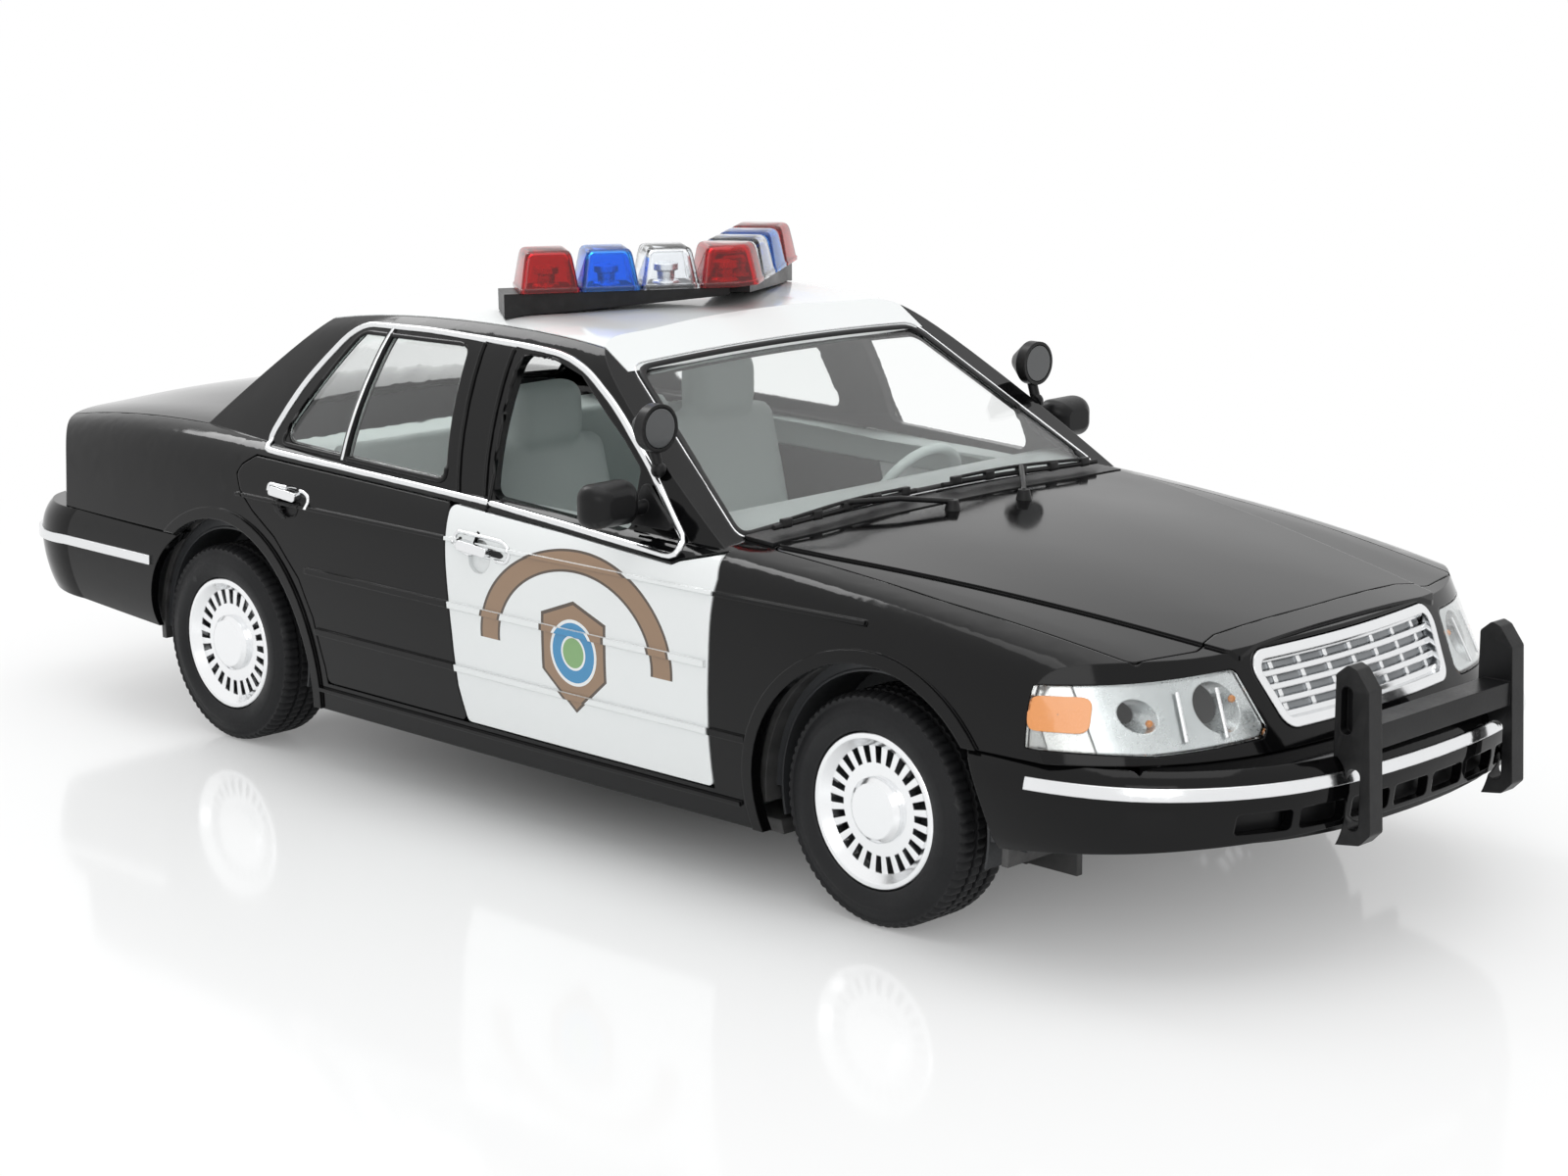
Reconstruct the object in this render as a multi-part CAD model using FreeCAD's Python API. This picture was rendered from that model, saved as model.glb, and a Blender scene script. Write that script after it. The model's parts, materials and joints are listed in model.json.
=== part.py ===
import FreeCAD
import Part
import math
import os
from FreeCAD import Vector

# Police patrol sedan, a display model kit at one twenty-fifth of a full-size car.
# Millimetres at the model's own size. +X is forward, +Y is the left side, +Z is up, and z = 0 is the
# ground under the tyres. x = 0 is the middle of the whole length, push bumper included.

# Driving dimensions of the car; both reaches are measured from the middle of the wheelbase
wheelbase = 116.5
nose_reach = 107.7
tail_reach = 109.1
body_half_width = 39.6
belt_height = 40.2
roof_height = 60.4
roof_half_width = 36.2
sill_height = 7.9
wall = 1.1
shut_gap = 0.22
seat_gap = 0.12
overrun = 6.0

# Driving dimensions of the wheels
tyre_radius = 13.2
tyre_width = 8.8
cover_radius = 8.85
front_cover_plane = 36.4
rear_cover_plane = 37.9
axle_radius = 1.1
bore_gap = 0.08

axle_middle = (tail_reach - nose_reach) / 2
front_axle_x = axle_middle + wheelbase / 2
rear_axle_x = axle_middle - wheelbase / 2
side_span = body_half_width + overrun
far_ahead = axle_middle + nose_reach + overrun
far_behind = axle_middle - tail_reach - overrun
far_up = roof_height + overrun
least_volume = seat_gap ** 3

os.makedirs("parts", exist_ok=True)


# Helpers for outlines, prisms and export

def rounded_wire(corners, radius, place):
    """A closed outline through the corners, each rounded by a tangent arc."""
    count = len(corners)
    flat = [Vector(a, b, 0) for a, b in corners]
    trim_share = 0.45
    edges = []
    ends = []
    for i in range(count):
        before = flat[i - 1] - flat[i]
        after = flat[(i + 1) % count] - flat[i]
        half = before.getAngle(after) / 2
        shorter = min(before.Length, after.Length)
        trim = min(radius / math.tan(half), trim_share * shorter) if radius else 0
        if trim > seat_gap / 100:
            into = before.normalize()
            out = after.normalize()
            start = flat[i] + into * trim
            end = flat[i] + out * trim
            reach = trim / math.cos(half)
            size = trim * math.tan(half)
            middle = flat[i] + (into + out).normalize() * (reach - size)
            ends.append((start, middle, end))
        else:
            ends.append((flat[i], None, flat[i]))
    for i in range(count):
        start, middle, end = ends[i]
        if middle is not None:
            edges.append(Part.Arc(place(start), place(middle), place(end)).toShape())
        following = ends[(i + 1) % count][0]
        if (following - end).Length > seat_gap / 1000:
            edges.append(Part.makeLine(place(end), place(following)))
    return Part.Wire(edges)


def outline_face(corners, radius, place, growth):
    """The outline's face, its edge moved outwards all round by the growth."""
    face = Part.Face(rounded_wire(corners, radius, place))
    return face.makeOffset2D(growth) if growth else face


def side_prism(corners, radius, y_from, y_to, growth=0):
    """Outline in (x, z), pushed along Y."""
    face = outline_face(corners, radius, lambda p: Vector(p.x, y_from, p.y), growth)
    return face.extrude(Vector(0, y_to - y_from, 0))


def front_prism(corners, radius, x_from, x_to, growth=0):
    """Outline in (y, z), pushed along X."""
    face = outline_face(corners, radius, lambda p: Vector(x_from, p.x, p.y), growth)
    return face.extrude(Vector(x_to - x_from, 0, 0))


def plan_prism(corners, radius, z_from, z_to, growth=0):
    """Outline in (x, y), pushed along Z."""
    face = outline_face(corners, radius, lambda p: Vector(p.x, p.y, z_from), growth)
    return face.extrude(Vector(0, 0, z_to - z_from))


def block(x_from, x_to, y_from, y_to, z_from, z_to):
    return Part.makeBox(x_to - x_from, y_to - y_from, z_to - z_from, Vector(x_from, y_from, z_from))


def rod_between(start, end, radius):
    return Part.makeCylinder(radius, (end - start).Length, start, end - start)


def side_points(shares):
    """Points in (x, z): shares of the wheelbase from its middle, and of the belt height."""
    return [(axle_middle + a * wheelbase, b * belt_height) for a, b in shares]


def plan_points(shares):
    """Points in (x, y): shares of the wheelbase from its middle, and of the body's half width."""
    return [(axle_middle + a * wheelbase, b * body_half_width) for a, b in shares]


def end_points(shares):
    """Points in (y, z) of the right side: shares of the body's half width, and of the belt height."""
    return [(-a * body_half_width, b * belt_height) for a, b in shares]


def side_place(shares):
    """One place on the right side: shares of wheelbase, body half width and belt height."""
    return Vector(axle_middle + shares[0] * wheelbase, -shares[1] * body_half_width, shares[2] * belt_height)


def mirrored(points):
    """The points, then their mirror images across the car's middle in reverse order."""
    return points + [(a, -b) for a, b in reversed(points)]


def mirrored_ends(points):
    """The same for points in (y, z)."""
    return points + [(-a, b) for a, b in reversed(points)]


def left_copy(shape):
    return shape.mirror(Vector(0, 0, 0), Vector(0, 1, 0))


def both_sides(shapes):
    """The right side's solids and their mirror images, kept apart."""
    solids = [s for shape in shapes for s in shape.Solids]
    return Part.makeCompound(solids + [left_copy(s) for s in solids])


def joined(shapes):
    """One solid from shapes that meet."""
    whole = shapes[0].fuse(shapes[1:]) if len(shapes) > 1 else shapes[0]
    return whole.removeSplitter()


def largest(shape):
    return max(shape.Solids, key=lambda s: s.Volume)


def put(name, shape):
    """Writes one node, as one solid or as a compound of solids that stay apart."""
    solids = [s for s in shape.Solids if s.Volume > least_volume]
    kept = solids[0] if len(solids) == 1 else Part.makeCompound(solids)
    kept.exportStep("parts/" + name + ".step")
    box = kept.BoundBox
    print(f"{name:22s} {len(solids):3d} solids  valid {kept.isValid()}  "
          f"x {box.XMin:7.1f} {box.XMax:7.1f}  y {box.YMin:6.1f} {box.YMax:6.1f}  z {box.ZMin:5.1f} {box.ZMax:5.1f}")


# The body's form, as sections across the car that are lofted from tail to nose

# Each station: its place from the wheelbase's middle as a share of the wheelbase, and its half width,
# shoulder height and centre height as shares of the body's half width and belt height
body_station_shares = (
    (-1.02, 0.920, 0.870, 0.905),
    (-0.86, 0.962, 0.965, 1.005),
    (-0.68, 0.985, 1.018, 1.055),
    (-0.45, 0.997, 1.022, 1.060),
    (-0.18, 1.000, 1.000, 1.035),
    (0.08, 1.000, 0.985, 1.012),
    (0.30, 0.992, 0.962, 0.985),
    (0.50, 0.980, 0.918, 0.950),
    (0.66, 0.962, 0.862, 0.900),
    (0.78, 0.935, 0.802, 0.852),
    (0.92, 0.895, 0.722, 0.780),
)
# The section's points from sill to shoulder: share of the half width, share of sill-to-shoulder height
body_side_shares = ((0.955, 0.0), (0.982, 0.20), (0.998, 0.45), (0.996, 0.68), (0.978, 0.85), (0.930, 0.965))
# The section's points over the top: share of the half width, share of shoulder-to-centre height
body_top_shares = ((0.840, 0.22), (0.640, 0.58), (0.340, 0.90), (0.0, 1.0))
# The spline's own parameters at those points, the same in every section so that the surface stays light
body_knot_shares = (0.0, 0.085, 0.19, 0.285, 0.355, 0.41, 0.47, 0.60, 0.79, 1.0)

greenhouse_sink = 5.0
greenhouse_base = belt_height - greenhouse_sink
# Each station: place as above, half width and height over the base as shares of roof half width and of
# the roof's height over the greenhouse base
roof_station_shares = (
    (-0.72, 0.930, 0.530),
    (-0.53, 0.970, 0.790),
    (-0.38, 0.993, 0.935),
    (-0.24, 1.000, 0.990),
    (-0.10, 1.000, 1.000),
    (0.02, 1.000, 0.970),
    (0.13, 0.995, 0.890),
    (0.25, 0.980, 0.720),
    (0.38, 0.955, 0.480),
)
roof_side_shares = ((1.0, 0.0), (0.990, 0.17), (0.935, 0.45), (0.845, 0.72), (0.770, 0.875), (0.700, 0.945))
roof_top_shares = ((0.520, 0.975), (0.280, 0.993), (0.0, 1.0))
roof_knot_shares = (0.0, 0.12, 0.29, 0.45, 0.545, 0.61, 0.73, 0.87, 1.0)

# Plan curves of nose and tail: distance back from the tip and half width, as shares of the body's half width
nose_plan_shares = ((0.0, 0.0), (0.013, 0.252), (0.048, 0.480), (0.126, 0.682), (0.242, 0.833), (0.404, 0.950),
                    (0.682, 1.048))
tail_plan_shares = ((0.0, 0.0), (0.010, 0.303), (0.040, 0.556), (0.091, 0.758), (0.157, 0.874), (0.265, 0.960),
                    (0.606, 1.061))
nose_tip = 98.4
nose_tip_height = 25.5
nose_rake_share = 0.52
tail_tip = 105.6
tail_tip_height = 28.0
tail_rake_share = 0.10

# Windshield and rear window, each sloping from its low to its high point and bowed in plan
windshield_line_shares = ((0.297, 0.983), (0.062, 1.418))
windshield_bow = 300.0
backlight_line_shares = ((-0.592, 1.045), (-0.415, 1.433))
backlight_bow = 170.0
windshield_low, windshield_high = side_points(windshield_line_shares)
backlight_low, backlight_high = side_points(backlight_line_shares)


def section(x, half_points, knot_shares):
    """A closed section at x: a spline over the car, closed by a straight line below."""
    right = [Vector(x, -y, z) for y, z in half_points]
    left = [Vector(x, y, z) for y, z in reversed(half_points[:-1])]
    first_half = [k / 2 for k in knot_shares]
    second_half = [1 - k for k in reversed(first_half[:-1])]
    curve = Part.BSplineCurve()
    curve.interpolate(Points=right + left, Parameters=first_half + second_half)
    return Part.Wire([curve.toShape(), Part.makeLine(left[-1], right[0])])


def end_curve(plan_shares, tip_x, direction, z):
    """Outline of nose or tail at height z: a spline across the car from side to side."""
    right = [Vector(tip_x - direction * back * body_half_width, -half * body_half_width, z)
             for back, half in reversed(plan_shares)]
    points = right + [Vector(p.x, -p.y, z) for p in reversed(right[:-1])]
    curve = Part.BSplineCurve()
    curve.interpolate(points)
    return curve.toShape(), points[0], points[-1]


def plan_slab(nose_x, tail_x, z):
    """Closed plan outline at height z from a nose curve and a tail curve."""
    nose_edge, nose_right, nose_left = end_curve(nose_plan_shares, nose_x, 1, z)
    tail_edge, tail_right, tail_left = end_curve(tail_plan_shares, tail_x, -1, z)
    left = Part.makeLine(nose_left, tail_left)
    right = Part.makeLine(tail_right, nose_right)
    return Part.Wire([nose_edge, left, tail_edge.reversed(), right])


def nose_line(z):
    return axle_middle + nose_tip - nose_rake_share * (z - nose_tip_height)


def tail_line(z):
    return axle_middle - tail_tip + tail_rake_share * (z - tail_tip_height)


def ends_solid(inset):
    """A tall block with the body's nose and tail curves, drawn in by the inset."""
    slabs = [plan_slab(nose_line(z) - inset, tail_line(z) + inset, z) for z in (0, roof_height)]
    return Part.makeLoft(slabs, True, True)


def sill_outline(inset):
    """The sill's plan outline, a little inside the loft, so that a hollow runs out below."""
    corners = []
    for place_share, width_share, shoulder_share, top_share in body_station_shares:
        half = (body_half_width * width_share - inset) * body_side_shares[0][0]
        corners.append((axle_middle + place_share * wheelbase, half - seat_gap))
    return mirrored(corners)


def body_solid(inset, floor):
    """The lower body, shrunk by the inset, with its underside at the floor height."""
    wires = []
    for place_share, width_share, shoulder_share, top_share in body_station_shares:
        half = body_half_width * width_share - inset
        shoulder = belt_height * shoulder_share - inset
        top = belt_height * top_share - inset
        side = [(half * a, sill_height + (shoulder - sill_height) * b) for a, b in body_side_shares]
        over = [(half * a, shoulder + (top - shoulder) * b) for a, b in body_top_shares]
        wires.append(section(axle_middle + place_share * wheelbase, side + over, body_knot_shares))
    ends = ends_solid(inset)
    solid = Part.makeLoft(wires, True, False).common(ends)
    if floor < sill_height:
        foot = plan_prism(sill_outline(inset), 0, floor, sill_height + seat_gap)
        solid = solid.fuse(foot.common(ends))
    return solid


def raked_arc(bow, x, z, direction):
    """One end of the greenhouse at height z: an arc across the car, bowed outwards."""
    back = bow - math.sqrt(bow ** 2 - body_half_width ** 2)
    right = Vector(x - direction * back, -body_half_width, z)
    left = Vector(x - direction * back, body_half_width, z)
    return Part.Arc(right, Vector(x, 0, z), left).toShape(), right, left


def line_x(low, high, z):
    return low[0] + (high[0] - low[0]) * (z - low[1]) / (high[1] - low[1])


def greenhouse_solid(inset):
    """The cabin's upper part: sides and roof lofted along the car, cut by the raked ends."""
    wires = []
    rise = roof_height - greenhouse_base
    for place_share, width_share, height_share in roof_station_shares:
        half = roof_half_width * width_share - inset
        high = rise * height_share - inset
        points = [(half * a, greenhouse_base + high * b) for a, b in roof_side_shares + roof_top_shares]
        wires.append(section(axle_middle + place_share * wheelbase, points, roof_knot_shares))
    loft = Part.makeLoft(wires, True, False)
    slope_front = math.atan2(windshield_high[1] - windshield_low[1], windshield_low[0] - windshield_high[0])
    slope_rear = math.atan2(backlight_high[1] - backlight_low[1], backlight_high[0] - backlight_low[0])
    slabs = []
    for z in (greenhouse_base - overrun, far_up):
        front_x = line_x(windshield_low, windshield_high, z) - inset / math.sin(slope_front)
        rear_x = line_x(backlight_low, backlight_high, z) + inset / math.sin(slope_rear)
        front, front_right, front_left = raked_arc(windshield_bow, front_x, z, 1)
        rear, rear_right, rear_left = raked_arc(backlight_bow, rear_x, z, -1)
        left = Part.makeLine(front_left, rear_left)
        right = Part.makeLine(rear_right, front_right)
        slabs.append(Part.Wire([front, left, rear.reversed(), right]))
    return loft.common(Part.makeLoft(slabs, True, True))


# Outlines of doors, windows and lids

front_door_shares = ((-0.094, 0.957), (-0.088, 0.823), (-0.081, 0.672), (-0.077, 0.572), (-0.073, 0.403),
                     (-0.064, 0.293), (0.304, 0.293), (0.304, 0.423), (0.307, 0.672), (0.308, 0.893),
                     (0.299, 0.955), (0.252, 0.922), (0.243, 0.909), (0.082, 0.936))
rear_door_shares = ((-0.094, 0.958), (-0.436, 0.982), (-0.454, 0.950), (-0.460, 0.920), (-0.449, 0.868),
                    (-0.425, 0.813), (-0.383, 0.741), (-0.340, 0.624), (-0.318, 0.505), (-0.306, 0.348),
                    (-0.305, 0.293), (-0.064, 0.293), (-0.073, 0.403), (-0.077, 0.572), (-0.081, 0.672),
                    (-0.088, 0.823))
front_window_shares = ((-0.042, 0.990), (-0.060, 1.400), (-0.013, 1.396), (0.038, 1.360), (0.126, 1.209),
                       (0.161, 1.137), (0.169, 0.962))
rear_window_shares = ((-0.415, 1.030), (-0.330, 1.386), (-0.144, 1.398), (-0.119, 1.010))
divider_line_shares = ((-0.281, 1.430), (-0.296, 1.000))
divider_width = 1.5
bead_line_shares = ((-0.441, 1.002), (-0.397, 1.224), (-0.343, 1.410), (-0.221, 1.423), (-0.060, 1.418),
                    (0.000, 1.408), (0.045, 1.373), (0.103, 1.286), (0.177, 1.137), (0.254, 0.925),
                    (0.082, 0.955), (-0.043, 0.973), (-0.120, 0.978), (-0.389, 0.998))
window_round = 1.6
door_round = 0.9
hood_shares = ((0.328, 0.803), (0.550, 0.797), (0.757, 0.743), (0.775, 0.535), (0.764, 0.420), (0.767, 0.0))
bulge_shares = ((0.320, 0.780), (0.395, 0.745), (0.548, 0.640), (0.650, 0.570), (0.800, 0.470))
hood_floor = 28.0
trunk_shares = ((-0.556, 0.850), (-1.000, 0.836))
trunk_floor = 37.8
trunk_tongue_half = 17.0
trunk_tongue_floor = 28.4
windshield_half_low = 31.5
windshield_half_high = 24.0
backlight_half_low = 30.5
backlight_half_high = 22.5
# Where each pane starts and ends between its line's low and high points
windshield_pane_share = (0.05, 0.93)
backlight_pane_share = (0.06, 0.90)
roof_panel_half = 25.9
roof_panel_floor = 55.2
door_middle = 33.0

# Wheel arches: each centre a little ahead of its axle and below it
front_arch_radius = 17.4
front_arch_lead = 1.15
front_arch_drop = 0.4
rear_arch_radius = 17.9
rear_arch_lead = 1.65
rear_arch_drop = 0.6
arch_lip = 1.5
arch_proud = 0.40
trim_width = 1.0
trim_proud = 0.30
arch_front = (front_axle_x + front_arch_lead, tyre_radius - front_arch_drop, front_arch_radius)
arch_rear = (rear_axle_x + rear_arch_lead, tyre_radius - rear_arch_drop, rear_arch_radius)
arches = (arch_front, arch_rear)


def arch_disc(arch, radius, y_from, y_to):
    return Part.makeCylinder(radius, y_to - y_from, Vector(arch[0], y_from, arch[1]), Vector(0, 1, 0))


def pane_prism(low, high, half_low, half_high, pane_share, growth):
    """The windshield's or rear window's outline, seen straight from above, as a vertical prism."""
    low_x, high_x = [low[0] + (high[0] - low[0]) * share for share in pane_share]
    corners = [(low_x, -half_low), (low_x, half_low), (high_x, half_high), (high_x, -half_high)]
    return plan_prism(corners, window_round, greenhouse_base, far_up, growth)


def windshield_prism(growth):
    return pane_prism(windshield_low, windshield_high, windshield_half_low, windshield_half_high,
                      windshield_pane_share, growth)


def backlight_prism(growth):
    return pane_prism(backlight_low, backlight_high, backlight_half_low, backlight_half_high,
                      backlight_pane_share, growth)


skin = body_solid(0, sill_height)
skin_inner = body_solid(wall, 0)
cabin = greenhouse_solid(0)
cabin_inner = greenhouse_solid(wall)
outer = skin.fuse(cabin)
shell = outer.cut(skin_inner.fuse(cabin_inner))
body_layer = skin.cut(skin_inner)
proud_body = body_solid(-arch_proud, sill_height)
moulding_layer = proud_body.cut(skin)
thin_body = body_solid(-trim_proud, sill_height)
proud_cabin = greenhouse_solid(-trim_proud)
print("shell made", shell.isValid(), len(shell.Solids))

# Ridges and mouldings along the sides: the band's low edge and height, and its ends on the wheelbase
moulding_high = 0.8
ridge_high = 0.45
ridge_low = 34.2
rocker_strip_low = 10.4
rocker_strip_high = 0.5
moulding_low = 26.0
lower_moulding_low = 18.2
ridge_line_share = (-0.455, 0.50)
moulding_line_share = (-0.325, 0.303)
lower_moulding_line_share = (-0.315, 0.355)
rocker_line_share = (-0.34, 0.34)


def side_band(layer, low, high, line_share):
    ends = [axle_middle + share * wheelbase for share in line_share]
    return layer.common(block(ends[0], ends[1], -side_span, -door_middle, low, low + high)).Solids


bands = side_band(thin_body.cut(skin), ridge_low, ridge_high, ridge_line_share)
bands += side_band(moulding_layer, moulding_low, moulding_high, moulding_line_share)
bands += side_band(moulding_layer, lower_moulding_low, moulding_high, lower_moulding_line_share)
bands += side_band(moulding_layer, rocker_strip_low, rocker_strip_high, rocker_line_share)
lips = []
for arch in arches:
    ring = arch_disc(arch, arch[2] + arch_lip, -side_span, -door_middle)
    lips += moulding_layer.common(ring).Solids
side_trim = bands + lips
shell = shell.fuse(side_trim + [left_copy(piece) for piece in side_trim])
print("bands joined", shell.isValid(), len(shell.Solids))

# Hood lid with its raised middle, and its opening
hood_corners = mirrored(plan_points(hood_shares))
hood_hole = plan_prism(hood_corners, window_round, hood_floor, roof_height)
hood_plug = plan_prism(hood_corners, window_round, hood_floor, roof_height, -shut_gap)
bulge_zone = plan_prism(mirrored(plan_points(bulge_shares)), window_round, hood_floor, roof_height)
bulge = thin_body.cut(skin).common(bulge_zone)
hood_lid = body_layer.fuse(bulge).common(hood_plug)
nose_bulge = bulge.cut(hood_hole).cut(greenhouse_solid(-seat_gap))
nose_bulge = nose_bulge.common(block(axle_middle + hood_shares[1][0] * wheelbase, far_ahead, -side_span, side_span,
                                     hood_floor, roof_height))
shell = shell.cut(hood_hole).fuse(nose_bulge.Solids)
print("hood cut", shell.isValid(), len(shell.Solids))

# Windows, the wheel arches, and the bumper zones, which the bumpers' own covers close
front_window = side_points(front_window_shares)
rear_window = side_points(rear_window_shares)
divider_top, divider_foot = side_points(divider_line_shares)
divider = [(divider_foot[0] - divider_width / 2, divider_foot[1]), (divider_top[0] - divider_width / 2, divider_top[1]),
           (divider_top[0] + divider_width / 2, divider_top[1]), (divider_foot[0] + divider_width / 2, divider_foot[1])]
front_window_hole = side_prism(front_window, window_round, -side_span, side_span)
rear_window_hole = side_prism(rear_window, window_round, -side_span, side_span).cut(
    side_prism(divider, 0, -side_span, side_span))
shell = shell.cut([windshield_prism(0), backlight_prism(0), front_window_hole, rear_window_hole])
shell = shell.cut([arch_disc(arch, arch[2], -side_span, side_span) for arch in arches])
front_bumper_top = 23.6
front_bumper_from = front_axle_x + 0.7 * front_arch_radius
rear_bumper_top = 27.2
rear_bumper_from = rear_axle_x - 0.5 * rear_arch_radius
shell = shell.cut([block(front_bumper_from, far_ahead, -side_span, side_span, 0, front_bumper_top),
                   block(far_behind, rear_bumper_from, -side_span, side_span, 0, rear_bumper_top)])
print("openings cut", shell.isValid(), len(shell.Solids))

# The white roof panel, four door panels and the trunk lid come out of the shell with gaps round them
roof_gap = block(backlight_low[0], windshield_low[0], -roof_panel_half - seat_gap, roof_panel_half + seat_gap,
                 roof_panel_floor - seat_gap, far_up)
roof_panel = shell.common(block(backlight_low[0], windshield_low[0], -roof_panel_half, roof_panel_half,
                                roof_panel_floor, far_up))
door_panels = {}
door_holes = []
for name, shares in (("front_door", front_door_shares), ("rear_door", rear_door_shares)):
    corners = side_points(shares)
    door_panels[name] = shell.common(side_prism(corners, door_round, -side_span, -door_middle, -shut_gap / 2))
    hole = side_prism(corners, 0, -side_span, -door_middle, shut_gap / 2)
    door_holes += [hole, left_copy(hole)]
trunk_corners = mirrored(plan_points(trunk_shares))
trunk_hole = plan_prism(trunk_corners, window_round, trunk_floor, roof_height)
trunk_plug = plan_prism(trunk_corners, window_round, trunk_floor + shut_gap, roof_height, -shut_gap)
tongue_hole = block(far_behind, tail_line(trunk_floor) + 2 * overrun, -trunk_tongue_half, trunk_tongue_half,
                    trunk_tongue_floor, trunk_floor + wall)
tongue_plug = block(far_behind, tail_line(trunk_floor) + overrun, shut_gap - trunk_tongue_half,
                    trunk_tongue_half - shut_gap, trunk_tongue_floor + shut_gap, trunk_floor + wall)
trunk_lid = body_layer.common(trunk_plug.fuse(tongue_plug)).cut(greenhouse_solid(-seat_gap))
trunk_lid = largest(trunk_lid)
shell = shell.cut([roof_gap, tongue_hole] + door_holes).cut(trunk_hole.cut(greenhouse_solid(-seat_gap)))
print("panels split", shell.isValid(), len(shell.Solids), "lid", trunk_lid.isValid())

# Nose openings for the grille and the headlamps, tail openings for the tail lamps
grille_shares = ((0.376, 0.629), (0.437, 0.831))
grille_round = 2.2
grille_depth = 1.8
headlamp_shares = ((1.060, 0.627), (1.060, 0.779), (0.745, 0.784), (0.472, 0.794), (0.437, 0.647),
                   (0.462, 0.622), (0.758, 0.607))
headlamp_from_share = 0.695
lamp_round = 0.8
tail_lamp_low = 29.1
tail_lamp_to_share = -0.845
grille_corners = mirrored_ends(end_points(grille_shares))
grille_low = grille_corners[0][1]
grille_high = grille_corners[1][1]
grille_rear = nose_line(grille_high) - grille_depth - wall
headlamp_from = axle_middle + headlamp_from_share * wheelbase
tail_lamp_to = axle_middle + tail_lamp_to_share * wheelbase
headlamp_corners = end_points(headlamp_shares)
headlamp_hole = front_prism(headlamp_corners, lamp_round, headlamp_from, far_ahead)
headlamp_plug = front_prism(headlamp_corners, lamp_round, headlamp_from + seat_gap, far_ahead, -seat_gap)
tail_lamp_hole = block(far_behind, tail_lamp_to, -side_span, -trunk_tongue_half, tail_lamp_low, trunk_floor)
tail_lamp_plug = block(far_behind, tail_lamp_to - seat_gap, -side_span, -trunk_tongue_half - seat_gap,
                       tail_lamp_low + seat_gap, trunk_floor - seat_gap)
shell = shell.cut([front_prism(grille_corners, grille_round, grille_rear, far_ahead), headlamp_hole,
                   left_copy(headlamp_hole), tail_lamp_hole, left_copy(tail_lamp_hole)])
shell = largest(shell)
print("nose and tail cut", shell.isValid())

# Door handles: a bright flap over a shallow cup that is sunk into the door
handle_length = 5.6
handle_high = 1.15
handle_proud = 0.9
handle_round = 0.45
handle_drop = 0.35
cup_radius = 2.0
cup_forward = 0.7
cup_drop = 0.6
cup_depth = 0.5
handle_place_shares = {"rear_door": (-0.363, 0.880), "front_door": (-0.038, 0.836)}
handle_layer = body_solid(-handle_proud, sill_height).cut(skin)
cup_layer = skin.cut(body_solid(cup_depth, 0))
handles = []
for name, shares in handle_place_shares.items():
    x, z = side_points([shares])[0]
    flap = [(x - handle_length / 2, z), (x + handle_length / 2, z - handle_drop),
            (x + handle_length / 2, z - handle_drop + handle_high), (x - handle_length / 2, z + handle_high)]
    flap_form = handle_layer.common(side_prism(flap, handle_round, -side_span, -door_middle))
    handles.append(largest(flap_form.cut(door_panels[name])))
    cup = Part.makeCylinder(cup_radius, side_span - door_middle,
                            Vector(x + cup_forward, -side_span, z - cup_drop), Vector(0, 1, 0))
    door_panels[name] = largest(door_panels[name].cut(cup_layer.common(cup)))

# The rear plate sits in a shallow pocket of the trunk lid, low between the tail lamps
plate_half = 6.1
plate_low = 30.0
plate_high = 36.1
plate_thick = 0.35
pocket_depth = 0.5
pocket_rim = 0.45


def plate_slab(front_draw, rear_draw, growth):
    low = plate_low - growth
    high = plate_high + growth
    corners = [(tail_line(low) + rear_draw, low), (tail_line(high) + rear_draw, high),
               (tail_line(high) + front_draw, high), (tail_line(low) + front_draw, low)]
    return side_prism(corners, 0, -plate_half - growth, plate_half + growth)


trunk_lid = trunk_lid.cut(plate_slab(pocket_depth, -overrun, pocket_rim))
put("body_shell", shell)
put("roof_panel", roof_panel)
put("hood", hood_lid)
put("trunk_lid", trunk_lid)
put("rear_plate", plate_slab(pocket_depth, pocket_depth - plate_thick, 0))
for name, panel in door_panels.items():
    put(name + "_right", panel)
    put(name + "_left", left_copy(panel))
put("door_handles", both_sides([Part.makeCompound(handles)]))

# Glass: thin layers just inside the cabin's form, cut to the openings
glass_inset = 0.15
glass_thickness = 0.6
glass_layer = greenhouse_solid(glass_inset).cut(greenhouse_solid(glass_inset + glass_thickness))
ahead = block(0, far_ahead, -side_span, side_span, greenhouse_base, far_up)
behind = block(far_behind, 0, -side_span, side_span, greenhouse_base, far_up)
rear_pane = glass_layer.common(side_prism(rear_window, window_round, -side_span, 0, -seat_gap)).cut(
    side_prism(divider, 0, -side_span, 0, seat_gap))
put("windshield", glass_layer.common(windshield_prism(-seat_gap)).common(ahead))
put("rear_window", glass_layer.common(backlight_prism(-seat_gap)).common(behind))
put("side_glass", both_sides([rear_pane]))

# Bright bead in one loop round both side windows, and the strip on the rear divider
bead_middle = 24.0
divider_strip = 0.6
proud_layer = thin_body.fuse(proud_cabin).cut(outer)
bead_corners = side_points(bead_line_shares)
bead_ring = side_prism(bead_corners, window_round, -side_span, -bead_middle, trim_width / 2).cut(
    side_prism(bead_corners, window_round, -side_span, -bead_middle, -trim_width / 2))
strip_zone = side_prism(divider, 0, -side_span, -bead_middle, (divider_strip - divider_width) / 2).common(
    side_prism(rear_window, window_round, -side_span, -bead_middle, seat_gap))
put("window_trim", both_sides([proud_layer.common(bead_ring), proud_cabin.cut(cabin).common(strip_zone)]))

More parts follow.
